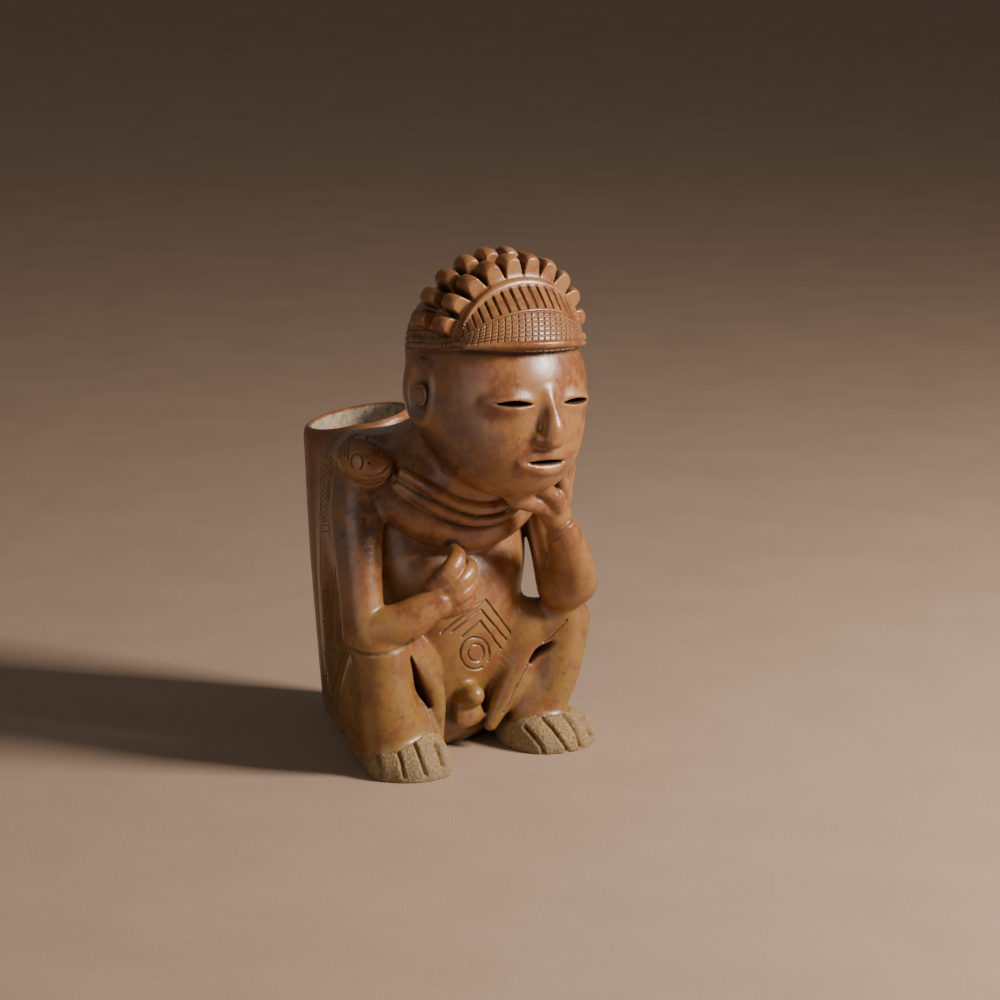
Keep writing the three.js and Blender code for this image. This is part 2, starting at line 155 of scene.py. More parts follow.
class Form:
    """A form of clay: a box about its middle, and its signed distance, negative inside."""

    def __init__(self, middle, reach, distance):
        self.low, self.high = middle - np.asarray(reach), middle + np.asarray(reach)
        self.distance = distance


def egg(center, radii, turn=(0, 0, 0), head=False):
    """A ball stretched to three radii, turned and moved to its centre."""
    matrix = turned(turn)
    center = np.asarray(center, float)
    if head:
        center = on_head(center)
        matrix = HEAD_TURN @ matrix
    rx, ry, rz = radii

    def distance(x, y, z):
        u, v, w = along_columns(matrix, x - center[0], y - center[1], z - center[2])
        stretch = np.sqrt((u / rx) ** 2 + (v / ry) ** 2 + (w / rz) ** 2)
        slope = np.sqrt((u / rx ** 2) ** 2 + (v / ry ** 2) ** 2 + (w / rz ** 2) ** 2)
        return stretch * (stretch - 1) / np.maximum(slope, 1e-3)

    return Form(center, max(radii), distance)


def curve_through(points, count):
    """Points evenly in parameter on a smooth curve through the given rows of numbers."""
    points = np.asarray(points, float)
    first = 2 * points[0] - points[1]
    last = 2 * points[-1] - points[-2]
    rows = np.vstack([first, points, last])
    out = []
    for spot in np.linspace(0, len(points) - 1 - 1e-9, count):
        k = int(spot)
        t = spot - k
        a, b, c, d = rows[k:k + 4]
        out.append(0.5 * (2 * b + (c - a) * t + (2 * a - 5 * b + 4 * c - d) * t ** 2
                          + (3 * b - a - 3 * c + d) * t ** 3))
    return np.array(out)


def limb(stations, side=(1, 0, 0), steps=14, head=False):
    """A rolled limb with rounded ends through stations [x, y, z, half width, half depth]."""
    rows = np.array([row if len(row) == 5 else [*row, row[3]] for row in stations], float)
    path = curve_through(rows, steps + 1)
    places, sizes = path[:, :3], path[:, 3:]
    side = np.asarray(side, float)
    if head:
        places = on_head(places)
        side = HEAD_TURN @ side
    beyond = 12                          # how far round a step its distance is worked out

    def distance(x, y, z):
        best = np.full((x.size, y.size, z.size), FAR, np.float32)
        for k in range(steps):
            a, b = places[k], places[k + 1]
            along = b - a
            length = np.linalg.norm(along)
            along = along / length
            wide = side - along * side.dot(along)
            wide = wide / np.linalg.norm(wide)
            deep = np.cross(along, wide)
            spare = sizes[k:k + 2].max() + beyond
            low, high = np.minimum(a, b) - spare, np.maximum(a, b) + spare
            cut = tuple(slice(*np.searchsorted(ticks.ravel(), (low[axis], high[axis])))
                        for axis, ticks in enumerate((x, y, z)))
            dx, dy, dz = x[cut[0]] - a[0], y[:, cut[1]] - a[1], z[:, :, cut[2]] - a[2]
            if not dx.size * dy.size * dz.size:
                continue
            run, across, depth = along_columns(np.stack([along, wide, deep], 1), dx, dy, dz)
            t = np.clip(run / length, 0, 1)
            past = run - t * length
            half_wide = sizes[k, 0] + t * (sizes[k + 1, 0] - sizes[k, 0])
            half_deep = sizes[k, 1] + t * (sizes[k + 1, 1] - sizes[k, 1])
            half_end = np.minimum(half_wide, half_deep)
            u, v, w = across / half_wide, depth / half_deep, past / half_end
            stretch = np.sqrt(u * u + v * v + w * w)
            slope = np.sqrt((u / half_wide) ** 2 + (v / half_deep) ** 2 + (w / half_end) ** 2)
            d = stretch * (stretch - 1) / np.maximum(slope, 1e-3)
            best[cut] = np.minimum(best[cut], d)
        return best

    low, high = places.min(0) - sizes.max(), places.max(0) + sizes.max()
    return Form((low + high) / 2, (high - low) / 2, distance)


def evened(field):
    """A field that is nought on a surface, scaled to be a distance near that surface."""
    slopes = np.gradient(field, CELL)
    size = np.sqrt(sum(slope * slope for slope in slopes))
    return np.clip(field / np.maximum(size, 1e-4), -FAR, FAR).astype(np.float32)


def track(place, knots, values):
    """A smooth curve of one number over another, through its knots."""
    slopes = np.gradient(values, knots)
    k = np.clip(np.searchsorted(knots, place) - 1, 0, len(knots) - 2)
    width = knots[k + 1] - knots[k]
    t = np.clip((place - knots[k]) / width, 0, 1)
    return ((2 * t ** 3 - 3 * t ** 2 + 1) * values[k] + (t ** 3 - 2 * t ** 2 + t) * width * slopes[k]
            + (3 * t ** 2 - 2 * t ** 3) * values[k + 1] + (t ** 3 - t ** 2) * width * slopes[k + 1])


def fillet(here, there, blend):
    """What a rounding of about `blend` adds where two fields are nearly the same."""
    near = np.clip(1 - np.abs(here - there) / blend, 0, 1)
    return near * near * blend / 4


class Clay:
    """A block of clay on a grid, with the piece that each place belongs to."""

    def __init__(self, low, high):
        self.ticks = [np.arange(low[k], high[k] + CELL, CELL, dtype=np.float32) for k in range(3)]
        counts = [len(ticks) for ticks in self.ticks]
        self.field = np.full(counts, FAR, np.float32)
        self.nearest = np.full(counts, FAR, np.float32)
        self.owner = np.zeros(counts, np.int8)

    def window(self, form, blend):
        """The part of the block round a form, and the form's distances there."""
        spare = blend + 3 * CELL
        cuts = tuple(slice(*np.searchsorted(ticks, (form.low[axis] - spare, form.high[axis] + spare)))
                     for axis, ticks in enumerate(self.ticks))
        x, y, z = (ticks[cut] for ticks, cut in zip(self.ticks, cuts))
        return cuts, form.distance(x[:, None, None], y[None, :, None], z[None, None, :])

    def add(self, piece, form, blend=1.0):
        """Lutes a form on, with a fillet of about `blend` where it meets the rest."""
        cuts, d = self.window(form, blend)
        here = self.field[cuts]
        self.field[cuts] = np.minimum(here, d) - fillet(here, d, blend)
        closer = d < self.nearest[cuts]
        self.nearest[cuts][closer] = d[closer]
        self.owner[cuts][closer] = NUMBERS[piece]

    def cut(self, form, blend=1.0):
        """Carves a form away, with its edges rounded over about `blend`."""
        cuts, d = self.window(form, blend)
        d = -d
        here = self.field[cuts]
        self.field[cuts] = np.maximum(here, d) + fillet(here, d, blend)
        self.nearest[cuts] = np.maximum(self.nearest[cuts], d)

    def at(self, points):
        """The field at scattered points, between the nearest eight places."""
        spots = [(points[:, k] - self.ticks[k][0]) / CELL for k in range(3)]
        whole = [np.clip(spot.astype(np.int32), 0, self.field.shape[k] - 2)
                 for k, spot in enumerate(spots)]
        part = [np.clip(spot - base, 0, 1) for spot, base in zip(spots, whole)]
        total = np.zeros(len(points))
        for corner in CORNERS:
            weight = np.ones(len(points))
            for k, step in enumerate(corner):
                weight *= part[k] if step else 1 - part[k]
            total += weight * self.field[tuple(base + step for base, step in zip(whole, corner))]
        return total

    def slope_at(self, points):
        """How the field rises at scattered points along x, y and z, and how steep that is."""
        reach = 0.6 * CELL
        slope = np.stack([(self.at(points + step) - self.at(points - step)) / (2 * reach)
                          for step in np.eye(3) * reach], 1)
        return slope, np.linalg.norm(slope, axis=1)


CORNERS = np.array([(c & 1, (c >> 1) & 1, (c >> 2) & 1) for c in range(8)])
NAMES = [
    "torso", "head", "nose", "upper_lip", "lower_lip", "right_ear_rim", "right_ear_spool",
    "left_ear_rim", "left_ear_spool", "front_crest", "rear_crest", "headdress_cap", "brow_edge",
    "fan", "headband", "basket", "neck", "chest", "lower_neck_strand", "upper_neck_strand",
    "right_thigh", "right_shin", "right_foot", "left_thigh", "left_shin", "left_foot",
    "front_boss", "right_upper_arm", "right_forearm", "right_hand", "right_serpent_head",
    "left_upper_arm", "left_forearm", "left_hand", "left_serpent_head",
]
NUMBERS = {name: number for number, name in enumerate(NAMES)}

# Head, about its own centre


def head_form(grow=0.0):
    """The head, grown all round by some millimetres, narrower and set forward at the jaw."""
    jaw_drop, jaw_forward, jaw_narrow, fullness = 4, 20, 0.1, 0.05
    heights = np.linspace(-1.3, 1.3, 260)
    real = heights * (HEAD_HALF[2] + grow + jaw_drop * smooth(-heights))

    def distance(x, y, z):
        u, v, w = from_head(x, y, z)
        level = np.interp(w.ravel(), real, heights).reshape(w.shape).astype(np.float32)
        jaw = smooth(-level)
        full = smooth(np.abs(level)) * fullness
        across = u / ((HEAD_HALF[0] + grow) * (1 - jaw_narrow * jaw + full))
        deep = (v + jaw_forward * jaw) / ((HEAD_HALF[1] + grow) * (1 + full))
        return evened(np.sqrt(across ** 2 + deep ** 2 + level ** 2) - 1)

    return Form(HEAD_AT, np.array([70, 88, 74]) + grow, distance)


LOBES = 11
CREST_FOOT = 36                          # height of the crests' middle on the head
CREST_START, CREST_SPAN = 84, 182        # degrees from the middle to the first lobe, and in all
CREST_BOW = 7                            # how far the ends lie behind the middle
REAR_NOTCH = 0.22                        # depth of the notches at the back, as a share of the height


def crest_form(middle_x, back, half_wide, tall, thick, front_notch):
    """A wall across the head, ear to ear, its top cut into lobes by wedge notches."""
    def distance(x, y, z):
        u, v, w = from_head(x - middle_x, y, z)
        angle = np.degrees(np.arctan2(u / half_wide, (w - CREST_FOOT) / tall))
        line = back + CREST_BOW * np.sin(np.radians(angle)) ** 2
        place = np.clip((v - line) / thick, -1.3, 1.3)
        step = (angle + CREST_START) / CREST_SPAN * LOBES
        part = np.abs(step - np.floor(step) - 0.5) * 2
        notch = np.clip((part - 0.56) / 0.44, 0, 1) ** 1.15
        shallow = front_notch * (1 - 0.35 * smooth(angle, 0, 60))
        depth = shallow + (REAR_NOTCH - shallow) * smooth(place, -1.1, 0.3)
        slope = np.where(place < 0, 0.05 * place ** 4, 0.24 * np.abs(place) ** 1.5)
        crown = 0.085 * (1 - part ** 2)
        reach = 0.955 - slope + crown - depth * notch
        outward = (np.hypot(u / half_wide, (w - CREST_FOOT) / tall) - reach) * (half_wide * 0.8)
        sides = np.abs(v - line) - thick
        lower_edge = 41.5 - 0.05 * (u + 60) - 0.12 * (v + 10) - w
        return shared(outward, sides, lower_edge)

    return Form(HEAD_AT + np.array([0, back, 45]), [72, thick + 16, 84], distance)


BAND_LOW, BAND_HIGH, BAND_THICK = 31.5, 44, 3.2
BAND_TILT = 0.15                         # how much the headband rises toward the front


def band_form(low, high, thick):
    """A strip of clay laid round the head between two heights."""
    core = head_form(thick)

    def distance(x, y, z):
        u, v, w = from_head(x, y, z)
        height = w + BAND_TILT * v
        strip = np.maximum(low - height, height - high)
        return np.maximum(core.distance(x, y, z), strip).astype(np.float32)

    return Form(HEAD_AT, core.high - HEAD_AT, distance)


FAN_X = np.arange(-80, 80.5, 1.0)
FAN_Z = np.arange(20, 100.5, 1.0)
FAN_FOOT, FAN_ENDS_TALL, FAN_RISE = 35, 6, 41    # lower edge, height at the ends, more in the middle
BROW_HALF, TOP_HALF, FAN_SHIFT = 60, 47.5, -1.5  # half widths below and on top, and the way aside
BROW_FRONT, TOP_FRONT, FAN_BULGE = -62, -27.5, 5
ARCH_DEGREES, BROW_DEGREES = 84, 62


def fan_map():
    """Across and up shares of the fan, and its front, for places in the plane of the face."""
    x, z = np.meshgrid(FAN_X, FAN_Z, indexing="ij")
    across = x / BROW_HALF
    for _ in range(12):
        arch = np.radians(ARCH_DEGREES * np.clip(across, -1.15, 1.15))
        brow = np.radians(BROW_DEGREES * across)
        up = (z - FAN_FOOT) / (FAN_ENDS_TALL + FAN_RISE * np.maximum(np.cos(arch), 0.02))
        reach = (1 - up) * BROW_HALF * np.sin(brow) + up * TOP_HALF * np.sin(arch) + FAN_SHIFT
        across = np.clip(across + 0.7 * (x - reach) / HEAD_HALF[0], -1.3, 1.3)
    brow = np.radians(BROW_DEGREES * across)
    arch = np.radians(ARCH_DEGREES * np.clip(across, -1, 1))
    share = np.clip(up, -0.3, 1.4)
    bulge = FAN_BULGE * np.sin(np.pi * np.clip(share, 0, 1)) * np.cos(arch)
    front = (1 - share) * BROW_FRONT * np.cos(brow) + share * TOP_FRONT - bulge
    return [grid.astype(np.float32) for grid in (across, share, front)]


FAN_ACROSS, FAN_UP, FAN_FRONT = fan_map()


def read_fan(table, x, z):
    return between_four(table, x - FAN_X[0], z - FAN_Z[0])


def fan_form():
    """The fan that stands on the brow and leans back against the front crest."""
    def distance(x, y, z):
        u, v, w = from_head(x, y, z)
        u, w = np.broadcast_arrays(u, w)
        across, up, front = (read_fan(table, u, w) for table in (FAN_ACROSS, FAN_UP, FAN_FRONT))
        return shared((front - v) * 0.8, (np.abs(across) - 1) * 40, (up - 1) * 30, 37 - w, v + 16)

    return Form(HEAD_AT + (0, -45, 63), (70, 35, 33), distance)


# Basket: a cup turned about its own axis, its rim sloped

def outline_distance(outline, radius, height):
    """Signed distance in the half plane of a turned form, negative inside its outline."""
    closed = [*outline, outline[0]]
    best = line_distance(radius, height, closed)
    inside = np.zeros(radius.shape, bool)
    for a, b in zip(closed, closed[1:]):
        if a[1] != b[1]:
            crosses = (a[1] > height) != (b[1] > height)
            inside ^= crosses & (radius < a[0] + (height - a[1]) * (b[0] - a[0]) / (b[1] - a[1]))
    return np.where(inside, -best, best)


def basket_form(outline):
    """A form turned on the basket's leaning axis from an outline of [radius, height]."""
    grain, lowest = 0.5, -10
    radii, heights = np.arange(0, 60, grain), np.arange(lowest, 250, grain)
    table = outline_distance(outline, *np.meshgrid(radii, heights, indexing="ij"))
    table = table.astype(np.float32)

    def distance(x, y, z):
        height = np.clip(z, 0, None) + 0 * x + 0 * y
        for _ in range(2):
            dy = y - BASKET_BACK - BASKET_LEAN * height
            rise = (0.16 * x - 0.1 * dy - 1.8) * (np.clip(height, 0, 240) / BASKET_TALL) ** 2
            height = z - rise
        radius = np.hypot(x + 0 * dy, dy)
        return between_four(table, radius / grain, (height - lowest) / grain).astype(np.float32)

    return Form(np.array([0, BASKET_BACK + 4, 112]), [44, 48, 124], distance)


BASKET_OUTSIDE = [
    (0, 0), (26, 0), (29.5, 1.2), (31, 5), (32.4, 25), (34.8, 70), (37.2, 120), (38.2, 160),
    (38.6, 195), (39, 208), (39, 213), (38.2, 216.5), (36.6, 218.6), (34.8, 219), (0, 219),
]
BASKET_INSIDE = [
    (0, 9), (12, 10), (21, 14), (25, 30), (28, 120), (29, 190), (31, 207), (32.6, 215),
    (34, 220), (34, 236), (0, 236),
]

# Torso: a tall rounded form, its levels as [height, centre y, half width, half depth]

TORSO = np.array([
    (0, 40, 48, 41), (8, 38, 52, 48), (36, 34, 55, 53), (70, 28, 58, 59), (105, 23, 61, 62),
    (130, 24, 67, 61), (155, 29, 70, 56), (183, 33, 69, 51), (200, 34, 64, 47), (211, 35, 54, 38),
    (TORSO_TALL, 36, 40, 27),
], float)
TORSO_SQUARE = 2.3                       # 2 would give ovals, more gives squarer levels


def torso_form():
    def distance(x, y, z):
        level = np.clip(z, 0, TORSO_TALL)
        middle, wide, deep = (track(level, TORSO[:, 0], TORSO[:, k]) for k in (1, 2, 3))
        stretch = ((np.abs(x) / wide) ** TORSO_SQUARE
                   + (np.abs(y - middle) / deep) ** TORSO_SQUARE) ** (1 / TORSO_SQUARE)
        return np.maximum(np.maximum(evened(stretch - 1), -z), z - TORSO_TALL).astype(np.float32)

    return Form(np.array([0, 23.5, 111]), [70, 68.5, 111], distance)


# Sculpting

clay = Clay(BLOCK_LOW, BLOCK_HIGH)

clay.add("torso", torso_form(), 1)
clay.add("basket", basket_form(BASKET_OUTSIDE), 8)
for _, side in SIDES:
    for fill, steps, blend in (
            ([(36, 62, 14, 16), (40, 66, 60, 17), (41, 68, 130, 18), (40, 67, 190, 16)], 10, 12),
            ([(31, 84, 12, 12), (34, 87, 70, 13), (34.5, 89, 140, 13.5), (32, 89, 193, 12)], 10, 14),
            ([(26, 74, 202, 12), (44, 46, 202, 13), (56, 14, 200, 13)], 8, 14)):
        clay.add("torso", limb(sided(side, fill), steps=steps), blend)
clay.add("neck", limb([(0, 30, 204, 46, 24), (0, 6, 212, 46, 26), (0, -16, 214, 42, 26),
                       (0, -36, 204, 34, 22)]), 12)
clay.add("neck", limb(both_ways([(-50, -6, 204, 17), (-30, -28, 196, 17), (0, -38, 190, 17)]),
                      (0, 1, 0), 16), 8)

THIGH_RIDGES = {
    "right": [(-50, -24, 88, 8), (-44, -26, 76, 9.3), (-35, -28, 58, 9.6), (-29.5, -29, 42, 7),
              (-28, -30, 28, 4.4), (-28, -31, 14, 3)],
    "left": [(64, -26, 90, 8), (56, -27, 78, 9), (42, -28, 58, 10), (28, -28, 36, 8), (18, -27, 18, 5)],
}
THIGH = [(74, -28, 86, 18, 18), (54, -10, 60, 35, 22), (49, 2, 36, 33, 26), (47, 18, 28, 27, 27)]
HAUNCH = [(64, -8, 16, 20), (66, -10, 44, 20), (69, -16, 70, 16)]
SHINS = {
    "right": [(-78, -34, 86, 17, 17), (-75, -35, 54, 20, 17), (-66, -30, 22, 23, 20)],
    "left": [(77.5, -34, 86, 17, 17), (69, -35, 54, 17, 17), (57, -30, 22, 15.5, 19)],
}
UPPER_ARMS = {
    "right": [(-70, 2, 204, 18), (-78, -6, 178, 18.5), (-84, -18, 140, 15.3), (-87, -28, 99, 14.5)],
    "left": [(70, 2, 204, 18), (74, -6, 178, 16), (72, -20, 146, 14), (69, -42, 115, 18.5)],
}
FOREARMS = {
    "right": [(-86, -30, 101, 16), (-66, -43, 107, 14.5), (-43, -52, 121, 11)],
    "left": [(74, -47, 117, 17.5), (63, -59, 139, 15), (47, -70, 163, 11.5)],
}

for word, side in SIDES:
    clay.add(f"{word}_thigh", limb(sided(side, THIGH), steps=30), 5)
    clay.add(f"{word}_thigh", limb(THIGH_RIDGES[word], steps=12), 6)
    if side > 0:
        clay.add("left_thigh", egg((50, -22, 88), (15, 12, 15)), 10)
    clay.add(f"{word}_upper_arm", limb(UPPER_ARMS[word], steps=28), 7)

clay.add("chest", limb(both_ways([(-62, -12, 192, 13), (-44, -24, 176, 14), (-22, -31, 165, 14),
                                  (0, -33, 162, 14)]), (0, 1, 0), 22), 6)

for word, side, splay, out, wide, tall in (("right", -1, -20, 56, 26, 25), ("left", 1, 8, 60, 29, 21)):
    clay.add(f"{word}_shin", limb(SHINS[word], steps=12), 10)
    clay.add(f"{word}_shin", limb(sided(side, HAUNCH), steps=8), 14)
    turn = math.radians(splay)

    def swing(x, y, z):
        """A place about the ankle, turned with the foot."""
        return (side * out + x * math.cos(turn) - y * math.sin(turn),
                -32 + x * math.sin(turn) + y * math.cos(turn), z)

    clay.add(f"{word}_foot", egg(swing(0, 4, 5), (wide, 34, tall), (0, 0, splay)), 6)
    for toe in range(5):
        across = toe / 4 - 0.5
        clay.add(f"{word}_foot", egg(swing(across * (wide + 13), -15 + 28 * across ** 2, 4),
                                     (9.4, 20, 16), (0, 0, splay)), 9)
    clay.add(f"{word}_shin", egg((side * 51, -31, 16), (16, 13, 30)), 11)

LEG_SLITS = [[(-59, -36, 82, 1.3), (-52, -34, 69, 2.6), (-44, -33, 54, 2.7), (-37.5, -35, 42, 0.9)],
             [(58, -34, 76, 1.0), (52, -33, 69, 2.5), (45, -33, 61, 1.3)]]
SLIT_DEEP = 15
for stations in LEG_SLITS:
    clay.cut(limb([(*row, SLIT_DEEP) for row in stations], (1, 0, 0.4), 16), 2.5)

clay.add("front_boss", limb([(0, -20, 45, 7, 7), (0, -23, 34, 10.5, 7), (1, -24, 25, 12.5, 7)], steps=6), 5)
clay.add("front_boss", limb([(0, -18, 43, 8.5), (1, -30, 42, 8)], steps=2), 3)

for word, side in SIDES:
    clay.add(f"{word}_forearm", limb(FOREARMS[word], (0, 1, 0), 24), 2.5)

clay.add("right_hand", egg((-33, -50, 126), (13, 10, 15), (0, 30, 0)), 4)
FIST = [[(-46, -51, 133, 6), (-38, -58, 142, 6.8), (-29, -55, 150, 6.2), (-26, -46, 153, 5)],
        [(-44, -53, 127, 6), (-32, -60, 134, 6.8), (-20, -56, 141, 6.2), (-17, -46, 144, 5)],
        [(-41, -54, 120, 5.6), (-30, -60, 126, 6.6), (-18, -55, 131, 6), (-15, -45, 133, 5)],
        [(-38, -53, 112.5, 5), (-29, -58, 117, 5.8), (-19, -54, 121, 5.2), (-16, -45, 123, 4.4)]]
for finger in FIST:
    clay.add("right_hand", limb(finger, (0, 0, 1), 12), 1.2)
clay.add("left_hand", egg((38, -74, 178), (12, 10, 17), (0, -25, 0)), 4)
FINGERTIPS = [(1, -81, 191), (22, -85, 196), (37, -83, 203), (49, -75, 209)]
for x, y, z in FINGERTIPS:
    clay.add("left_hand", limb([(40, -75, 176, 6.2), ((x + 42) / 2, y + 0.5, (z + 179) / 2, 6.6),
                                (x, y, z, 5.6)], (0, 1, 0), 10), 1.2)

SERPENT = [(50, 74, 186, 5), (56, 54, 203, 6.5), (64, 26, 213, 8), (70, 3, 218, 13)]
for word, side in SIDES:
    clay.add(f"{word}_serpent_head", limb(sided(side, SERPENT), (0, 0, 1), 14), 6)
    clay.add(f"{word}_serpent_head", egg((side * 76, -13, 216), (16.5, 20, 14.5), (24, 0, side * -25)), 4)

clay.add("head", head_form(), 9)
for _, side in SIDES:
    clay.add("head", egg((side * EYE_OUT, -49, EYE_HIGH), (18, 12, 10.5), (0, 0, side * 22), True), 5)

STRANDS = {
    "lower": [(-56, -24, 198, 4.2), (-42, -38, 187, 4.4), (-22, -47, 176, 4.6), (0, -50, 172, 4.6)],
    "upper": [(-54, -26, 207, 4.2), (-40, -41, 196, 4.4), (-21, -51, 185, 4.6), (0, -54, 181, 4.6)],
}
for word, strand in STRANDS.items():
    clay.add(f"{word}_neck_strand", limb(both_ways(strand), (0, 1, 0), 24), 1.5)

clay.add("nose", limb([(0, -58, 8, 4, 5), (0, -64, -2, 5, 6), (0, -69, -13, 7, 7),
                       (0, -70, -21, 8.5, 6)], steps=12, head=True), 5)
for _, side in SIDES:
    clay.add("nose", egg((side * 8, -63, -21), (5.5, 7, 5), head=True), 2.5)


def lip(rise, sag, thick, half_wide=19):
    """A roll of clay across the front of the head, thinner toward its ends."""
    rows = []
    for across in (step / 3 for step in range(-3, 4)):
        x = across * half_wide
        y = -HEAD_HALF[1] * math.sqrt(1 - (x / HEAD_HALF[0]) ** 2) * 0.9 - 6.5
        rows.append((x, y, MOUTH_HIGH + rise + sag * across ** 2, thick * (1 - 0.45 * across ** 2)))
    return limb(rows, (0, 0, 1), 14, head=True)


clay.add("upper_lip", lip(5.2, -4, 3.4), 3)
clay.add("lower_lip", lip(-5.4, 4, 3.6), 3)

clay.add("headdress_cap", egg((0, 16, 30), (57, 44, 50), head=True), 3)
clay.add("rear_crest", crest_form(0, 9, 60, 60, 11.5, 0.19), 1.5)
clay.add("front_crest", crest_form(-0.5, -16.5, 60, 59, 11, 0.16), 1.5)
clay.add("headband", band_form(BAND_LOW, BAND_HIGH, BAND_THICK), 1.5)
clay.add("fan", fan_form(), 3)
clay.add("brow_edge", limb([
    (math.sin(a) * 58 + FAN_SHIFT, -math.cos(a) * 61.5, 42 - 5 * a ** 2, 2.8 - 1.8 * a ** 2,
     3.2 - 1.9 * a ** 2) for a in np.linspace(-1.0, 0.8, 11)], (0, 0, 1), 20, head=True), 1.5)

# Hollows and pierced openings

HEAD_WALL = 9
clay.cut(head_form(-HEAD_WALL), 1)
clay.cut(basket_form(BASKET_INSIDE), 3)


def slit(x, z, half_wide, rise, drop):
    """A pointed slit between two arcs, straight through the front of the head."""
    def distance(px, py, pz):
        u, v, w = from_head(px, py, pz)
        across = np.clip(1 - ((u - x) / half_wide) ** 2, 0, 1)
        return shared((w - z) - rise * across, -drop * across - (w - z),
                      (np.abs(u - x) - half_wide) * 0.6, v + 39)

    return Form(on_head((x, -60, z)), [half_wide + 2, 24, 8], distance)


for _, side in SIDES:
    clay.cut(slit(side * EYE_OUT, EYE_HIGH, 12.5, 2.6, 1.4), 1.5)
    clay.cut(egg((side * 65, 1, EAR_HIGH), (10, 13, 18.5), head=True), 3)
clay.cut(slit(0, MOUTH_HIGH, 15, 1.6, 1.2), 1.5)


def ring_form(center, radii, thick):
    """An oval ring on the side of the head."""
    middle = on_head(center)

    def distance(x, y, z):
        u, v, w = along_columns(HEAD_TURN, x - middle[0], y - middle[1], z - middle[2])
        around = np.hypot(v / radii[0], w / radii[1]) - 1
        return np.hypot(u, around * np.mean(radii)) - thick

    return Form(middle, max(radii) + thick + 2, distance)


for word, side in SIDES:
    clay.add(f"{word}_ear_rim", ring_form((side * 59.6, 1, EAR_HIGH), (14, 20), 2.4), 3)
    clay.add(f"{word}_ear_spool", egg((side * 58.2, SPOOL_BACK, 0), (3.6, 7.8, 7.8), head=True), 1)

# The base is flat: no clay lies below the floor

clay.field = np.maximum(clay.field, -clay.ticks[2][None, None, :])

# The skin of the clay

def skin(block):
    """Points and four-sided faces of the surface between the inside and the outside of the clay."""
    field = block.field
    inside = field < 0
    shape = np.array(field.shape) - 1
    full = np.zeros(shape, np.uint8)
    for i, j, k in CORNERS:
        full += inside[i:shape[0] + i, j:shape[1] + j, k:shape[2] + k]
    cells = np.argwhere((full > 0) & (full < 8)).astype(np.int32)
    index = np.full(shape, -1, np.int32)
    index[tuple(cells.T)] = np.arange(len(cells))
    values = np.stack([field[tuple((cells + corner).T)] for corner in CORNERS], 1)
    total = np.zeros((len(cells), 3))
    count = np.zeros(len(cells))
    for a in range(8):
        for b in range(a + 1, 8):
            if np.abs(CORNERS[a] - CORNERS[b]).sum() != 1:
                continue
            va, vb = values[:, a], values[:, b]
            crosses = (va < 0) != (vb < 0)
            t = np.where(crosses, va / np.where(crosses, va - vb, 1), 0)
            total += (CORNERS[a] + t[:, None] * (CORNERS[b] - CORNERS[a])) * crosses[:, None]
            count += crosses
    low = np.array([ticks[0] for ticks in block.ticks])
    points = (cells + total / count[:, None]) * CELL + low
    quads = []
    for axis in range(3):
        ahead = [slice(None)] * 3
        behind = [slice(None)] * 3
        ahead[axis], behind[axis] = slice(1, None), slice(None, -1)
        first = inside[tuple(behind)]
        spots = np.argwhere(first != inside[tuple(ahead)])
        others = [k for k in range(3) if k != axis]
        spots = spots[((spots[:, others] > 0) & (spots[:, others] < shape[others])).all(1)]
        four = []
        for step in ((-1, -1), (0, -1), (0, 0), (-1, 0)):
            cell = spots.copy()
            cell[:, others] += step
            four.append(index[tuple(cell.T)])
        quad = np.stack(four, 1)
        filled = first[tuple(spots.T)]
        flip = filled if axis == 1 else ~filled
        quad[flip] = quad[flip][:, ::-1]
        quads.append(quad)
    return points, np.vstack(quads)


def owners_of(places):
    """The piece that each place on the skin belongs to."""
    return clay.owner[tuple(np.clip(np.rint((places[:, k] - clay.ticks[k][0]) / CELL).astype(int), 0,
                                    clay.owner.shape[k] - 1) for k in range(3))]


def per_point(places, faces, face_owners):
    """The owner and the smooth normal of each point, each face weighing by its area."""
    point_owners = np.zeros(len(places), np.int8)
    point_owners[faces.ravel()] = np.repeat(face_owners, 3)
    a, b, c = (places[faces[:, k]] for k in range(3))
    flat = np.cross(b - a, c - a)
    total = np.stack([sum(np.bincount(faces[:, k], flat[:, axis], len(places)) for k in range(3))
                      for axis in range(3)], 1)
    return point_owners, total / np.maximum(np.linalg.norm(total, axis=1), 1e-9)[:, None]


# New triangles by how many edges are halved, as corners 0 to 2 and middles 3 to 5

SPLITS = {1: [(0, 3, 2), (3, 1, 2)],
          2: [(3, 1, 4), (0, 3, 4), (0, 4, 2)],
          3: [(0, 3, 5), (3, 1, 4), (5, 4, 2), (3, 4, 5)]}


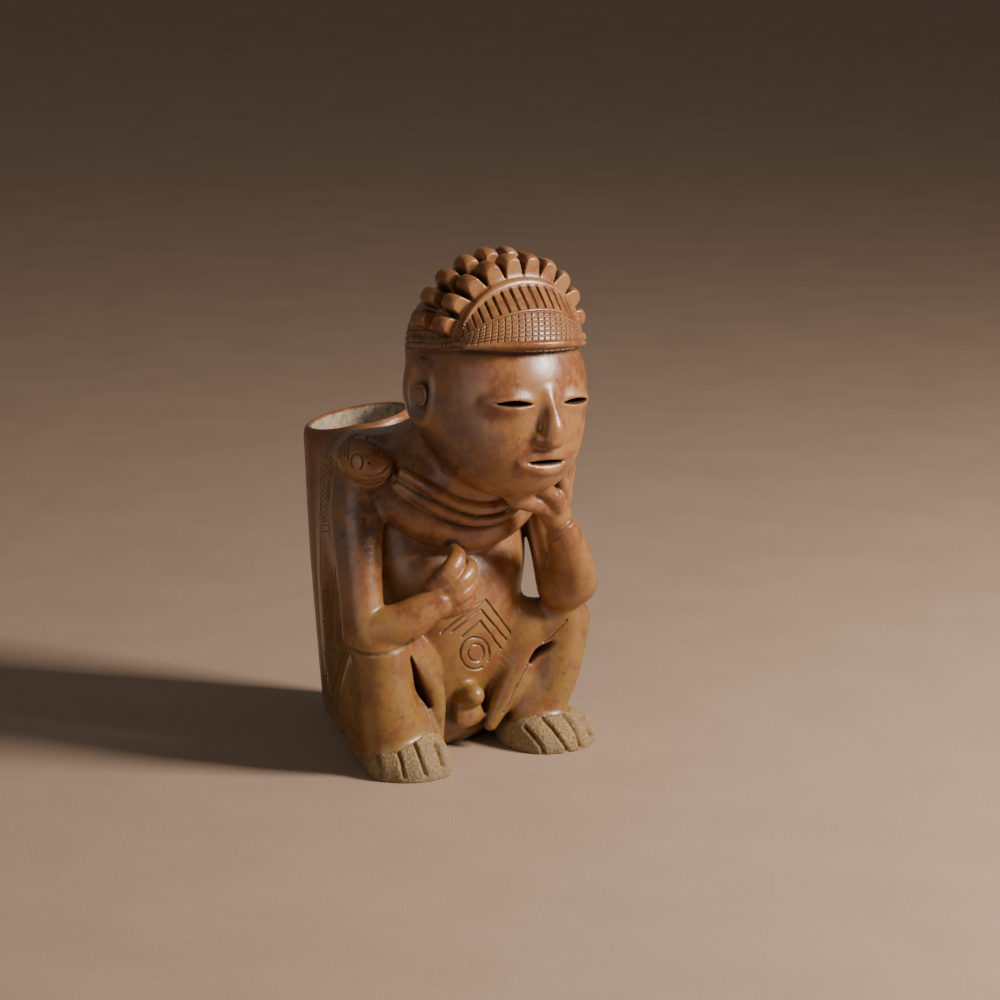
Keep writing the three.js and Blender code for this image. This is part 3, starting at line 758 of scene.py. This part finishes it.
def split_edges(places, faces, owners, wanted, length):
    """Halves the edges longer than `length` whose two ends are both wanted."""
    near = wanted[faces].sum(1) >= 2
    rest, faces, kept, owners = faces[~near], faces[near], owners[~near], owners[near]
    ends = np.sort(np.stack([faces, np.roll(faces, -1, axis=1)], 2), axis=2).astype(np.int64)
    keys, edge_of = np.unique(ends[..., 0] * len(places) + ends[..., 1], return_inverse=True)
    a, b = keys // len(places), keys % len(places)
    marked = wanted[a] & wanted[b] & (np.linalg.norm(places[a] - places[b], axis=1) > length)
    middle = np.full(len(keys), -1)
    middle[marked] = len(places) + np.arange(marked.sum())
    places = np.vstack([places, (places[a[marked]] + places[b[marked]]) / 2])
    middles = middle[edge_of.reshape(faces.shape)]
    count = (middles >= 0).sum(1)
    out, out_owners = [rest, faces[count == 0]], [kept, owners[count == 0]]
    for halved, parts in SPLITS.items():
        for turn in range(3 if halved < 3 else 1):
            six = np.hstack([np.roll(faces, -turn, axis=1), np.roll(middles, -turn, axis=1)])
            these = (count == halved) & (six[:, 5] < 0 if halved == 2 else six[:, 3] >= 0)
            for part in parts:
                out.append(six[these][:, part])
                out_owners.append(owners[these])
    return places, np.vstack(out), np.concatenate(out_owners)


def settled(places, rounds=1):
    """Places moved onto the surface of the clay."""
    for _ in range(rounds):
        slope, size = clay.slope_at(places)
        step = clay.at(places)[:, None] * slope / np.maximum(size, 0.3)[:, None] ** 2
        places = places - np.clip(step, -0.5 * CELL, 0.5 * CELL)
    return places


# Incised ornament. Lines on the body are laid out as they are seen from the front right, in
# thousandths of the view's width from its upper left corner.

ACROSS = np.array([math.cos(AZIMUTH), math.sin(AZIMUTH), 0.0])
UPWARD = np.cross(ACROSS, -TOWARD)


def seen(places):
    """Where places of the figure lie in the view from the front right."""
    offset = places - VIEW_AT
    scale = 1000 / VIEW_WIDE * VIEW_FAR / (VIEW_FAR - offset @ TOWARD)
    return 500 + offset @ ACROSS * scale, 500 - offset @ UPWARD * scale


def groove(distance, half_wide, deep):
    return deep * np.clip(1 - (distance / half_wide) ** 2, 0, 1)


def scored(x, y, lines, half_wide, deep):
    """Depth of lines in the view, each a groove of the same width and depth."""
    return np.max([groove(line_distance(x, y, line), half_wide, deep) for line in lines], axis=0)


def oval(center, radii, start=0, end=360, count=28):
    angles = np.radians(np.linspace(start, end, count))
    return [(center[0] + radii[0] * math.cos(a), center[1] - radii[1] * math.sin(a)) for a in angles]


BELLY_LINES = [
    [(441, 633), (476.5, 606), (486, 600), (510.5, 632.7)],
    [(452, 632), (471.4, 617.5), (481.6, 610.4), (505.9, 639.3)],
    [(462, 637), (471.4, 628.9), (480.6, 621.2), (501, 648.6)],
    oval((475, 653.5), (14.7, 16.0), -28, 300), oval((475.9, 653), (8, 8.6)),
]
WRIST_LINES = [
    [(550.8, 543), (563, 534), (572.5, 524)], [(553, 531.5), (564, 525), (573, 517)],
]
LEG_LINES = [
    [(419, 692), (425, 704), (431, 719), (437, 734)],
    [(567, 620), (557, 630), (544, 642)], [(527, 665), (516, 687), (503, 713)],
]
ELBOW_LINES = [[(347, 648), (361, 653.5), (375, 655.5), (388, 654), (400, 649), (412, 641)]]
FLANK_LINES = [[(343, 655), (338, 672), (332, 690)]]
TOE_LINES = [
    [(373, 743), (375.5, 750), (378, 762), (380, 777)], [(393, 740), (396, 747), (401, 762), (404, 777)],
    [(413, 739), (416, 746), (421, 760), (426, 775)], [(435, 743), (438.5, 750), (443, 765)],
    [(525, 727), (533, 736), (541, 746), (543.5, 753), (543.5, 761)],
    [(543, 718), (551, 726), (560, 739), (567, 749), (568, 757)],
    [(564, 714), (571, 722), (578, 734), (581, 747)], [(582, 718), (587, 724), (592, 735)],
]
SERPENT_LINES = [
    [(357.4, 433.3), (350, 440), (347.4, 449), (347.5, 459.7)],
    [(351.5, 434.4), (345.5, 441), (343.6, 448), (344.2, 456)],
    [(347, 436.7), (341.8, 442), (340, 448), (340.2, 456)],
    [(342.5, 439), (338.3, 445), (336.8, 451), (336.7, 457)],
    oval((371.5, 441), (5, 6.5), 60, 330, 16), oval((356.8, 461.5), (6.2, 8.6), -60, 220, 18),
    [(396, 459), (394, 470), (387, 478.5), (374, 483), (360, 480.5)],
    [(391.5, 457), (389, 466), (382, 473), (372, 476.5), (362, 476)],
]
NOSTRILS = [(380.5, 455), (369.2, 463)]
SERPENT_TOP, SERPENT_FOOT, SERPENT_EDGE_FOOT = 452, 712, 706  # its band, down the view
SERPENT_ZONES = ((456, 522), (590, 700))  # where it is hatched
SERPENT_RINGS = (525, 531, 584)          # lines across it
SERPENT_STEP = 5.2

# Lines by the pieces that they cross, with their half width in the view and their depth

SCORES = [
    (("torso",), BELLY_LINES, 1.45, 1.1),
    (("right_thigh", "left_thigh", "right_shin", "left_shin"), LEG_LINES, 1.3, 0.9),
    (("right_thigh", "right_shin", "right_forearm", "right_upper_arm"), ELBOW_LINES, 3.0, 0.8),
    (("left_hand", "left_forearm", "right_hand", "right_forearm"), WRIST_LINES, 1.2, 0.55),
]
BELLY_BACK = 30                          # the belly's lines end here, toward the back
SKULL_LOW, SKULL_BACK = 190, 22          # the serpent's head has its lines above and before these
FLANK_FRONT, FLANK_BACK = 40, 92         # its band lies between these
TOE_WIDE, TOE_DEEP = 4.2, 2.9            # half width and depth of the clefts between the toes
DRESS_LOW = HEAD_AT[2] + 14              # nothing below this is carved as headdress


def serpent_band(y):
    """Middle and half width, across the view, of the serpent's body at a height in the view."""
    return (np.interp(y, [440, 520, 600, 690], [328.5, 328, 328.6, 330]),
            np.interp(y, [440, 458, 600, 690, 712], [8, 8.3, 7.4, 3.4, 0]))


def facing_view(directions):
    return directions @ TOWARD > 0.05


def met_first(places, directions):
    """Which places are the first that the view from the front right meets."""
    cell, slack = 3, 16                  # size of a cell in the view, and millimetres let through
    cells_down = 4096
    x, y = seen(places)
    cells = np.floor(x / cell).astype(int) * cells_down + np.floor(y / cell).astype(int)
    facing = facing_view(directions)
    near = np.where(facing, places @ TOWARD, -1e3)
    keys, cell_of = np.unique(cells, return_inverse=True)
    best = np.full(len(keys), -1e3)
    np.maximum.at(best, cell_of, near)
    return facing & (near > best[cell_of] - slack)


def by_side(places, directions, side):
    """Places carried to the right side of the figure, and which of one side the view meets."""
    mirror = np.array([-side, 1, 1])
    own = places * mirror
    return own, (places[:, 0] * side > 0) & met_first(own, directions * mirror)


def belongs(owners, *names):
    return np.isin(owners, [NUMBERS[name] for name in names])


def serpent_depth(x, y):
    """Depth of the hatched band down the side of the body and basket."""
    middle, half = serpent_band(y)
    inside = (np.abs(x - middle) < half) & (y > SERPENT_TOP) & (y < SERPENT_FOOT)
    cut = groove(np.abs(np.abs(x - middle) - half), 1.0, 0.7) * ((y > SERPENT_TOP) & (y < SERPENT_EDGE_FOOT))
    for low, high in SERPENT_ZONES:
        zone = inside & (y > low) & (y < high)
        for slant in (-0.75, 0.75):
            step = np.abs((y + slant * (x - middle) * 1.6) % SERPENT_STEP - SERPENT_STEP / 2)
            cut = np.maximum(cut, groove(step, 0.8, 0.6) * zone)
    for level in SERPENT_RINGS:
        cut = np.maximum(cut, groove(y - level, 0.9, 0.5) * inside)
    return np.maximum(cut, scored(x, y, FLANK_LINES, 1.1, 0.8))


SLOTS_BESIDE = 9.5                       # slots of the fan to each side of its middle
SLOT_LOW, SLOT_HIGH = 0.6, 0.885         # their ends, as shares of the fan's height
HATCH_HIGH = 0.575                       # where the hatched lower part of the fan ends
FAN_ROW, FAN_ROW_TALL, FAN_COLUMN = 0.0635, 2.9, 4.6
WEAVE_LOW, WEAVE_ROW, WEAVE_COLUMN = 31.7, 4.15, 3.9
SPOOL_RING = 5.2                         # radius of the ring that is cut into an ear spool


def dress_depth(places, owners):
    """Depth of the slots, ridges, hatching and weave on the headdress."""
    u, v, w = from_head(*places.T)
    fan = belongs(owners, "fan")
    across, up = read_fan(FAN_ACROSS, u, w), read_fan(FAN_UP, u, w)
    slots = np.abs((across * SLOTS_BESIDE + 0.5) % 1 - 0.5) / SLOTS_BESIDE * HEAD_HALF[0]
    zone = smooth(up, SLOT_LOW, 0.63) * (1 - smooth(up, SLOT_HIGH, 0.905)) * (np.abs(across) < 0.97)
    cut = np.where(fan, groove(slots, 0.8 + 1.6 * np.clip(up - SLOT_LOW, 0, 0.3), 2.2) * zone, 0.0)
    rows = np.abs((up / FAN_ROW) % 1 - 0.5) * FAN_ROW_TALL
    run = across * HEAD_HALF[0] - up * 14
    columns = np.abs((run / FAN_COLUMN) % 1 - 0.5) * FAN_COLUMN
    hatch = np.maximum(groove(FAN_ROW_TALL / 2 - rows, 0.62, 0.75),
                       groove(FAN_COLUMN / 2 - columns, 0.62, 0.85))
    cut = np.where(fan & (up < HATCH_HIGH) & (up > 0.04), hatch, cut)
    ridge = groove(up - 0.95, 0.055, -1.7) * smooth(1.0 - np.abs(across), 0, 0.12)
    rim = groove(up - 0.592, 0.018, -0.5)
    cut = np.where(fan, cut + ridge + rim, cut)
    high = w + BAND_TILT * v
    band = belongs(owners, "headband", "head", "headdress_cap")
    band &= (high > BAND_LOW - 0.1) & (high < BAND_HIGH + 0.3)
    level = (high - WEAVE_LOW) / WEAVE_ROW
    rows = np.abs(level % 1 - 0.5) * WEAVE_ROW
    around = np.arctan2(u, -v) * HEAD_HALF[0]
    columns = np.abs((around / WEAVE_COLUMN + 0.5 * (np.floor(level) % 2)) % 1 - 0.5) * WEAVE_COLUMN
    weave = np.maximum(groove(2.08 - rows, 0.75, 1.0), groove(WEAVE_COLUMN / 2 - columns, 0.75, 1.0))
    return np.where(band, weave, cut)


def carving(places, owners, normals):
    """Depth that is cut into the skin at each place, in millimetres; raised lines are negative."""
    depth = np.zeros(len(places))
    facing = facing_view(normals)

    def carve(mask, cut):
        depth[mask] = np.maximum(depth[mask], cut)

    for names, lines, half_wide, deep in SCORES:
        mask = belongs(owners, *names) & facing
        if names == ("torso",):
            mask &= places[:, 1] < BELLY_BACK
        carve(mask, scored(*seen(places[mask]), lines, half_wide, deep))

    for _, side in SIDES:
        own, side_of = by_side(places, normals, side)
        skull = belongs(owners, "right_serpent_head", "left_serpent_head", "right_upper_arm",
                        "left_upper_arm", "torso", "neck", "chest")
        skull &= side_of & (places[:, 2] > SKULL_LOW) & (places[:, 1] < SKULL_BACK)
        x, y = seen(own[skull])
        carve(skull, scored(x, y, SERPENT_LINES, 1.3, 0.9))
        for spot in NOSTRILS:
            carve(skull, groove(np.hypot(x - spot[0], y - spot[1]), 1.6, 1.4))
        flank = belongs(owners, "torso", "basket", "right_serpent_head", "left_serpent_head")
        flank &= side_of & (places[:, 1] > FLANK_FRONT) & (places[:, 1] < FLANK_BACK)
        carve(flank, serpent_depth(*seen(own[flank])))

    feet = belongs(owners, "right_foot", "left_foot") & facing
    x, y = seen(places[feet])
    for line in TOE_LINES:
        near = np.clip(1 - line_distance(x, y, line) / TOE_WIDE, 0, 1)
        carve(feet, TOE_DEEP * near ** 2)

    dress = belongs(owners, "fan", "headband", "front_crest", "head", "headdress_cap", "brow_edge",
                    "rear_crest") & (places[:, 2] > DRESS_LOW)
    depth[dress] = dress_depth(places[dress], owners[dress])

    spools = belongs(owners, "right_ear_spool", "left_ear_spool")
    u, v, w = from_head(*places[spools].T)
    depth[spools] = groove(np.hypot(v - SPOOL_BACK, w) - SPOOL_RING, 0.8, 0.7)
    return depth


points, quads = skin(clay)
points = settled(points, 2)
triangles = np.vstack([quads[:, [0, 1, 2]], quads[:, [0, 2, 3]]])
piece_of = owners_of(points[triangles].mean(1))
owners, normals = per_point(points, triangles, piece_of)
for length in REFINED:
    cut_here = np.abs(carving(points, owners, normals)) > 0
    grown = np.zeros(len(points), bool)
    grown[triangles[cut_here[triangles].any(1)].ravel()] = True
    before = len(points)
    points, triangles, piece_of = split_edges(points, triangles, piece_of, grown, length)
    points[before:] = settled(points[before:])
    owners, normals = per_point(points, triangles, piece_of)

depth = carving(points, owners, normals)
plain, plain_normals = points, normals   # the skin before it is carved
points = points - normals * depth[:, None]
normals = per_point(points, triangles, piece_of)[1]

# What the surface is like at each point, for the finishes, including where shade, highlight and sheen are
# painted into the colour


def openness(reach):
    """Distance to the clay at a reach off the skin, or into it, as a share of the reach."""
    return clay.at(plain + plain_normals * reach) / reach


def patches(base, *spots):
    """A base with soft round patches of the figure added, each a share, a centre and radii."""
    for share, center, radii in spots:
        spread = (plain - np.array(center)) / np.array(radii)
        base = base + share * np.exp(-(spread ** 2).sum(1))
    return base


# cavity: how closed in each point is; in the finishes it darkens hollows and creases as grime and as painted
# shade
cavity = np.clip(1 - openness(5), 0, 1)
cavity = np.maximum(cavity * 0.9, np.clip(1 - openness(1.8), 0, 1))
# edge: how thin the clay is beneath each point; in the finishes it lightens edges as wear and as a painted
# highlight
edge = np.clip(1 - openness(-3), 0, 1)
smoke = patches(0, (1, (-46, -62, 222), (26, 30, 18)), (0.9, (-80, -24, 168), (14, 22, 26)),
                (0.8, (-48, -20, 190), (26, 20, 16)), (0.5, (40, -70, 215), (20, 20, 16)),
                (0.5, (20, 60, 120), (50, 40, 50)))
# painted sheen: bluish-grey patches that paint a reflection on the right side of the head and face and on
# the outer right arm
bloom = patches(0, (1, (-60, -55, 262), (14, 34, 26)), (0.9, (-95, -10, 160), (12, 18, 60)),
                (0.5, (-40, -95, 240), (20, 20, 20)))
ochre = patches(0.25 + 0.75 * smooth(135 - plain[:, 2], 0, 90),
                (0.6, (-86, -28, 100), (20, 24, 20)), (0.5, (70, -50, 120), (25, 25, 25)),
                (0.7, (-62, 70, 170), (14, 16, 30)), (0.7, (62, 70, 170), (14, 16, 30)))
ochre = np.clip(ochre, 0, 1)
for _, side in SIDES:
    own, side_of = by_side(points, normals, side)
    x, y = seen(own)
    middle, half = serpent_band(y)
    in_band = side_of & (np.abs(x - middle) < half) & (y > 450) & (y < 530) & (plain[:, 1] > FLANK_FRONT)
    ochre = np.maximum(ochre, 0.95 * in_band)
low_down = smooth(16 - plain[:, 2], 0, 14)
grit = np.where(belongs(owners, "right_foot", "left_foot"), smooth(34 - plain[:, 2], -2, 12), low_down)
grit = np.maximum(grit, smooth(patches(0, (1, (-68, -42, 10), (15, 22, 17))), 0.35, 0.6))
past_axis = plain[:, 1] - (BASKET_BACK + BASKET_LEAN * plain[:, 2])
from_axis = np.hypot(plain[:, 0], past_axis)
outward = (plain_normals[:, 0] * plain[:, 0] + plain_normals[:, 1] * past_axis) / np.maximum(from_axis, 1)
in_basket = belongs(owners, "basket", "torso") & (from_axis < 33.5)
inside = np.where(in_basket, np.maximum(smooth(-outward, 0.0, 0.6), from_axis < 24), 0.0)

FEEL = {"cavity": cavity, "edge": edge, "carved": np.clip((depth - 0.3) / 0.75, 0, 1),
        "smoke": np.clip(smoke, 0, 1), "bloom": np.clip(bloom, 0, 1), "ochre": ochre, "grit": grit,
        "inside": inside, "red_slip": smooth(46 - from_axis, 0, 10)}


def make_piece(name, faces, material):
    """A mesh of some of the skin's faces, with the skin's own smooth normals."""
    used, local = np.unique(faces, return_inverse=True)
    mesh = bpy.data.meshes.new(name)
    mesh.vertices.add(len(used))
    mesh.vertices.foreach_set("co", ((points[used] + SHIFT) / 1000).astype(np.float32).ravel())
    mesh.loops.add(local.size)
    mesh.loops.foreach_set("vertex_index", local.astype(np.int32).ravel())
    mesh.polygons.add(len(faces))
    mesh.polygons.foreach_set("loop_start", np.arange(0, local.size, 3, dtype=np.int32))
    mesh.update(calc_edges=True)
    mesh.polygons.foreach_set("use_smooth", np.ones(len(faces), bool))
    mesh.normals_split_custom_set_from_vertices(normals[used])
    for quality, values in FEEL.items():
        layer = mesh.attributes.new(quality, "FLOAT", "POINT")
        layer.data.foreach_set("value", values[used].astype(np.float32))
    mesh.materials.append(material)
    piece = bpy.data.objects.new(name, mesh)
    bpy.context.collection.objects.link(piece)
    return piece


class Board:
    """Lays out and joins the nodes of one material or node group."""

    def __init__(self, tree):
        self.tree = tree

    def fill(self, node, inputs):
        """Gives a node's inputs numbers, colours or the outputs of other nodes."""
        for name, value in inputs.items():
            socket = node.inputs[name]
            if hasattr(value, "is_linked"):
                self.tree.links.new(value, socket)
            else:
                socket.default_value = (*value, 1) if socket.type == "RGBA" else value

    def put(self, kind, inputs=None, **settings):
        node = self.tree.nodes.new(kind)
        for name, value in settings.items():
            setattr(node, name, value)
        self.fill(node, inputs or {})
        return node

    def noise(self, place, scale, detail, rough=0.55, stretch=(1, 1, 1), shift=0.0):
        """Cloudy noise, 0 to 1, over a place in metres."""
        moved = self.put("ShaderNodeMapping", {
            "Scale": stretch, "Location": (shift, 0.7 * shift, -shift), "Vector": place})
        return self.put("ShaderNodeTexNoise", {
            "Scale": scale, "Detail": detail, "Roughness": rough,
            "Vector": moved.outputs["Vector"]}).outputs["Fac"]

    def between(self, value, low, high, start=0.0, end=1.0):
        """A value's range carried smoothly to another range."""
        return self.put("ShaderNodeMapRange", {
            "Value": value, "From Min": low, "From Max": high, "To Min": start, "To Max": end},
            interpolation_type="SMOOTHSTEP").outputs["Result"]

    def work(self, operation, *values):
        """Values taken together by one operation, from left to right."""
        total = values[0]
        for value in values[1:]:
            total = self.put("ShaderNodeMath", {0: total, 1: value}, operation=operation).outputs[0]
        return total

    def product(self, *values):
        return self.work("MULTIPLY", *values)

    def layered(self, color, *layers):
        """A colour with others laid over it in turn, each by its share."""
        for share, over in layers:
            color = self.put("ShaderNodeMix", {"Factor": share, 6: color, 7: over},
                             data_type="RGBA").outputs[2]
        return color


SOCKETS = {layer: layer.replace("_", " ").capitalize() for layer in FEEL}


def fired_clay_group():
    """Hand-burnished slip with fire clouds, wear, deposit in the carving and grit at the feet, with light
    and shade painted in: a painted highlight on the edges, a painted sheen, and painted shade in the hollows
    and grooves.
    """
    group = bpy.data.node_groups.new("fired_clay", "ShaderNodeTree")
    for way, kind, names in (("INPUT", "Color", ("Orange tone", "Red tone")),
                             ("INPUT", "Float", (*SOCKETS.values(), "Polish")),
                             ("OUTPUT", "Color", ("Color",)),
                             ("OUTPUT", "Float", ("Roughness", "Coat", "Height"))):
        for name in names:
            group.interface.new_socket(name, in_out=way, socket_type=f"NodeSocket{kind}")
    board = Board(group)
    between, product = board.between, board.product
    given = board.put("NodeGroupInput").outputs
    place = board.put("ShaderNodeTexCoord").outputs["Object"]

    clouds = board.noise(place, 14, 3, 0.5)
    patches = board.noise(place, 50, 8, 0.68, shift=3)
    mottle = board.noise(place, 165, 8, 0.7, shift=7)
    grain = board.noise(place, 520, 4, 0.6, shift=11)
    strokes = board.noise(place, 60, 3, 0.5, (1, 1, 0.14), 5)
    speckle = board.noise(place, 900, 2, 0.5, shift=2)

    slip = product(given["Red slip"], between(clouds, 0.3, 0.6, 0.3, 0.85))
    ochre = product(given["Ochre"], between(patches, 0.6, 0.42, 0.3, 0.95))
    olive = product(given["Ochre"], between(mottle, 0.48, 0.64, 0, 0.6))
    # painted sheen: bluish-grey patches that stand in for a reflection
    bloom = product(given["Bloom"], between(patches, 0.38, 0.6, 0.1, 0.7))
    smoke = product(given["Smoke"], between(patches, 0.34, 0.6, 0.3, 1.0))
    sooty = board.work("ADD", product(given["Smoke"], 0.17), mottle)
    spots = product(between(sooty, 0.59, 0.72), between(grain, 0.38, 0.55, 0.35, 1))
    # wear on the edges together with a painted highlight: convex edges are lightened, patchily
    wear_and_painted_highlight = product(between(given["Edge"], 0.25, 0.85), between(mottle, 0.35, 0.65, 0.35, 1))
    shade = between(product(mottle, patches), 0.3, 0.42, 0, 0.55)
    # grime in hollows together with painted shade: hollows and creases are darkened where shade falls
    grime_and_painted_shade = between(given["Cavity"], 0.25, 0.9, 0, 0.85)
    # painted shade: the carved grooves are darkened where shade falls in them, less where the clay is gritty
    painted_groove_shade = product(given["Carved"], board.work("SUBTRACT", 1.0, product(given["Grit"], 0.5)))
    buff = product(given["Carved"], between(patches, 0.42, 0.6, 0.05, 0.8),
                   between(speckle, 0.35, 0.6, 0.35, 1))
    gritty = product(given["Grit"], between(mottle, 0.3, 0.5, 0.55, 1),
                     board.work("SUBTRACT", 1.0, product(given["Carved"], 0.75)))
    crust = board.layered((0.2, 0.115, 0.04), (between(grain, 0.35, 0.65), (0.36, 0.25, 0.12)),
                          (between(patches, 0.45, 0.65), (0.24, 0.17, 0.1)))
    chalk = board.layered((0.2, 0.17, 0.14), (between(mottle, 0.35, 0.6), (0.46, 0.34, 0.21)),
                          (between(patches, 0.5, 0.7), (0.12, 0.105, 0.1)))
    color = board.layered(
        given["Orange tone"], (between(patches, 0.4, 0.6), given["Red tone"]),
        (slip, (0.21, 0.055, 0.028)),
        (between(mottle, 0.5, 0.68, 0, 0.7), (0.45, 0.205, 0.085)),
        (between(strokes, 0.5, 0.75, 0, 0.35), (0.17, 0.045, 0.015)),
        (ochre, (0.235, 0.125, 0.024)),
        (olive, (0.12, 0.068, 0.015)),
        (bloom, (0.17, 0.165, 0.15)),
        (product(smoke, 0.72), (0.035, 0.017, 0.01)),
        (product(spots, 0.85), (0.016, 0.011, 0.008)),
        (product(wear_and_painted_highlight, 0.55), (0.42, 0.195, 0.09)),
        (shade, (0.09, 0.03, 0.01)),
        (grime_and_painted_shade, (0.055, 0.022, 0.008)),
        (painted_groove_shade, (0.05, 0.02, 0.008)),
        (buff, (0.46, 0.31, 0.15)),
        (gritty, crust),
        (product(given["Inside"], 0.9), chalk))

    matt = board.work("MAXIMUM", given["Grit"], given["Inside"], given["Carved"])
    rough = board.work("ADD", between(mottle, 0.3, 0.75, 0.27, 0.46), product(grime_and_painted_shade, 0.3),
                       product(matt, 0.4), product(ochre, 0.1))
    rough = board.work("SUBTRACT", rough, product(given["Polish"], 0.08))
    coat = product(board.work("SUBTRACT", 1.0, matt), given["Polish"])

    pits = product(between(speckle, 0.62, 0.74), between(patches, 0.4, 0.6), -0.12)
    coarse = product(board.work("ADD", product(grain, 0.9), product(mottle, 0.5)),
                     board.work("MAXIMUM", given["Grit"], product(given["Inside"], 0.4)))
    height = board.work("ADD", product(strokes, 0.34), product(mottle, 0.2), product(grain, 0.05),
                        pits, coarse)
    board.put("NodeGroupOutput", {"Color": color, "Roughness": rough, "Coat": coat, "Height": height})
    return group


FIRED_CLAY = fired_clay_group()
RELIEF = 0.0012                          # metres between the low and high of the surface


def new_material(name):
    material = bpy.data.materials.new(name)
    material.use_nodes = True
    return material, Board(material.node_tree), material.node_tree.nodes["Principled BSDF"]


def clay_material(name, orange, red, polish, coat_rough):
    material, board, shader = new_material(name)
    feel = {socket: board.put("ShaderNodeAttribute", attribute_name=layer).outputs["Fac"]
            for layer, socket in SOCKETS.items()}
    look = board.put("ShaderNodeGroup", {"Orange tone": orange, "Red tone": red, "Polish": polish,
                                         **feel}, node_tree=FIRED_CLAY).outputs
    relief = board.put("ShaderNodeBump", {"Strength": 1.0, "Distance": RELIEF, "Height": look["Height"]})
    board.fill(shader, {
        "Normal": relief.outputs["Normal"], "Base Color": look["Color"],
        "Roughness": look["Roughness"], "Coat Weight": look["Coat"], "Coat Roughness": coat_rough})
    return material


FINISHES = {
    "burnished_clay": clay_material("burnished_clay", (0.33, 0.14, 0.05), (0.2, 0.058, 0.022), 0.35, 0.3),
    "basket_clay": clay_material("basket_clay", (0.32, 0.135, 0.05), (0.2, 0.06, 0.024), 0.3, 0.32),
    "sandy_clay": clay_material("sandy_clay", (0.28, 0.13, 0.04), (0.18, 0.065, 0.02), 0.1, 0.4),
}


def floor_material():
    material, board, shader = new_material("studio_floor")
    place = board.put("ShaderNodeTexCoord").outputs["Object"]
    relief = board.put("ShaderNodeBump", {"Distance": 0.0003, "Height": board.noise(place, 500, 3)})
    board.fill(shader, {
        "Base Color": board.layered((0.4, 0.275, 0.195), (
            board.between(board.noise(place, 12, 5), 0.3, 0.7), (0.43, 0.295, 0.21))),
        "Roughness": board.between(board.noise(place, 240, 3), 0.3, 0.7, 0.6, 0.75),
        "Normal": relief.outputs["Normal"]})
    return material


for name in NAMES:
    slot = "burnished_clay"
    if name.endswith("_foot"):
        slot = "sandy_clay"
    elif name == "basket":
        slot = "basket_clay"
    piece = make_piece(f"{name}_clay", triangles[piece_of == NUMBERS[name]], FINISHES[slot])
    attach(piece, "root")
    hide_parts(name)

# Floor, light and camera

FLOOR_REACH = 6
floor_mesh = bpy.data.meshes.new("floor")
floor_mesh.from_pydata([(FLOOR_REACH * x, FLOOR_REACH * y, 0)
                        for x, y in ((-1, -1), (1, -1), (1, 1), (-1, 1))], [], [(0, 1, 2, 3)])
floor_mesh.materials.append(floor_material())
floor = bpy.data.objects.new("floor", floor_mesh)
bpy.context.collection.objects.link(floor)

world = bpy.data.worlds.new("studio")
bpy.context.scene.world = world
world.use_nodes = True
room_light = world.node_tree.nodes["Background"].inputs
room_light["Color"].default_value = (0.55, 0.5, 0.46, 1)
room_light["Strength"].default_value = 0.19


def stand(name, data, place, toward):
    """A lamp or camera at a place, pointed along a direction."""
    thing = bpy.data.objects.new(name, data)
    thing.location = place
    thing.rotation_euler = Vector(toward).to_track_quat("-Z", "Y").to_euler()
    bpy.context.collection.objects.link(thing)
    return thing


def lamp(name, place, target, size, power, color):
    light = bpy.data.lights.new(name, "AREA")
    light.size, light.energy, light.color = size, power, color
    stand(name, light, place, np.array(target) - np.array(place))


lamp("key", (1.0, -1.3, 1.1), (0, -0.03, 0.2), 0.5, 72, (1.0, 0.93, 0.84))
lamp("fill", (-1.6, -1.0, 0.7), (0, 0, 0.2), 1.4, 5.5, (0.95, 0.97, 1.0))

SENSOR_WIDE = 36
camera_data = bpy.data.cameras.new("camera")
camera_data.sensor_width = SENSOR_WIDE
camera_data.lens = SENSOR_WIDE * VIEW_FAR / VIEW_WIDE
bpy.context.scene.camera = stand("camera", camera_data, (VIEW_AT + SHIFT + TOWARD * VIEW_FAR) / 1000,
                                 -TOWARD)
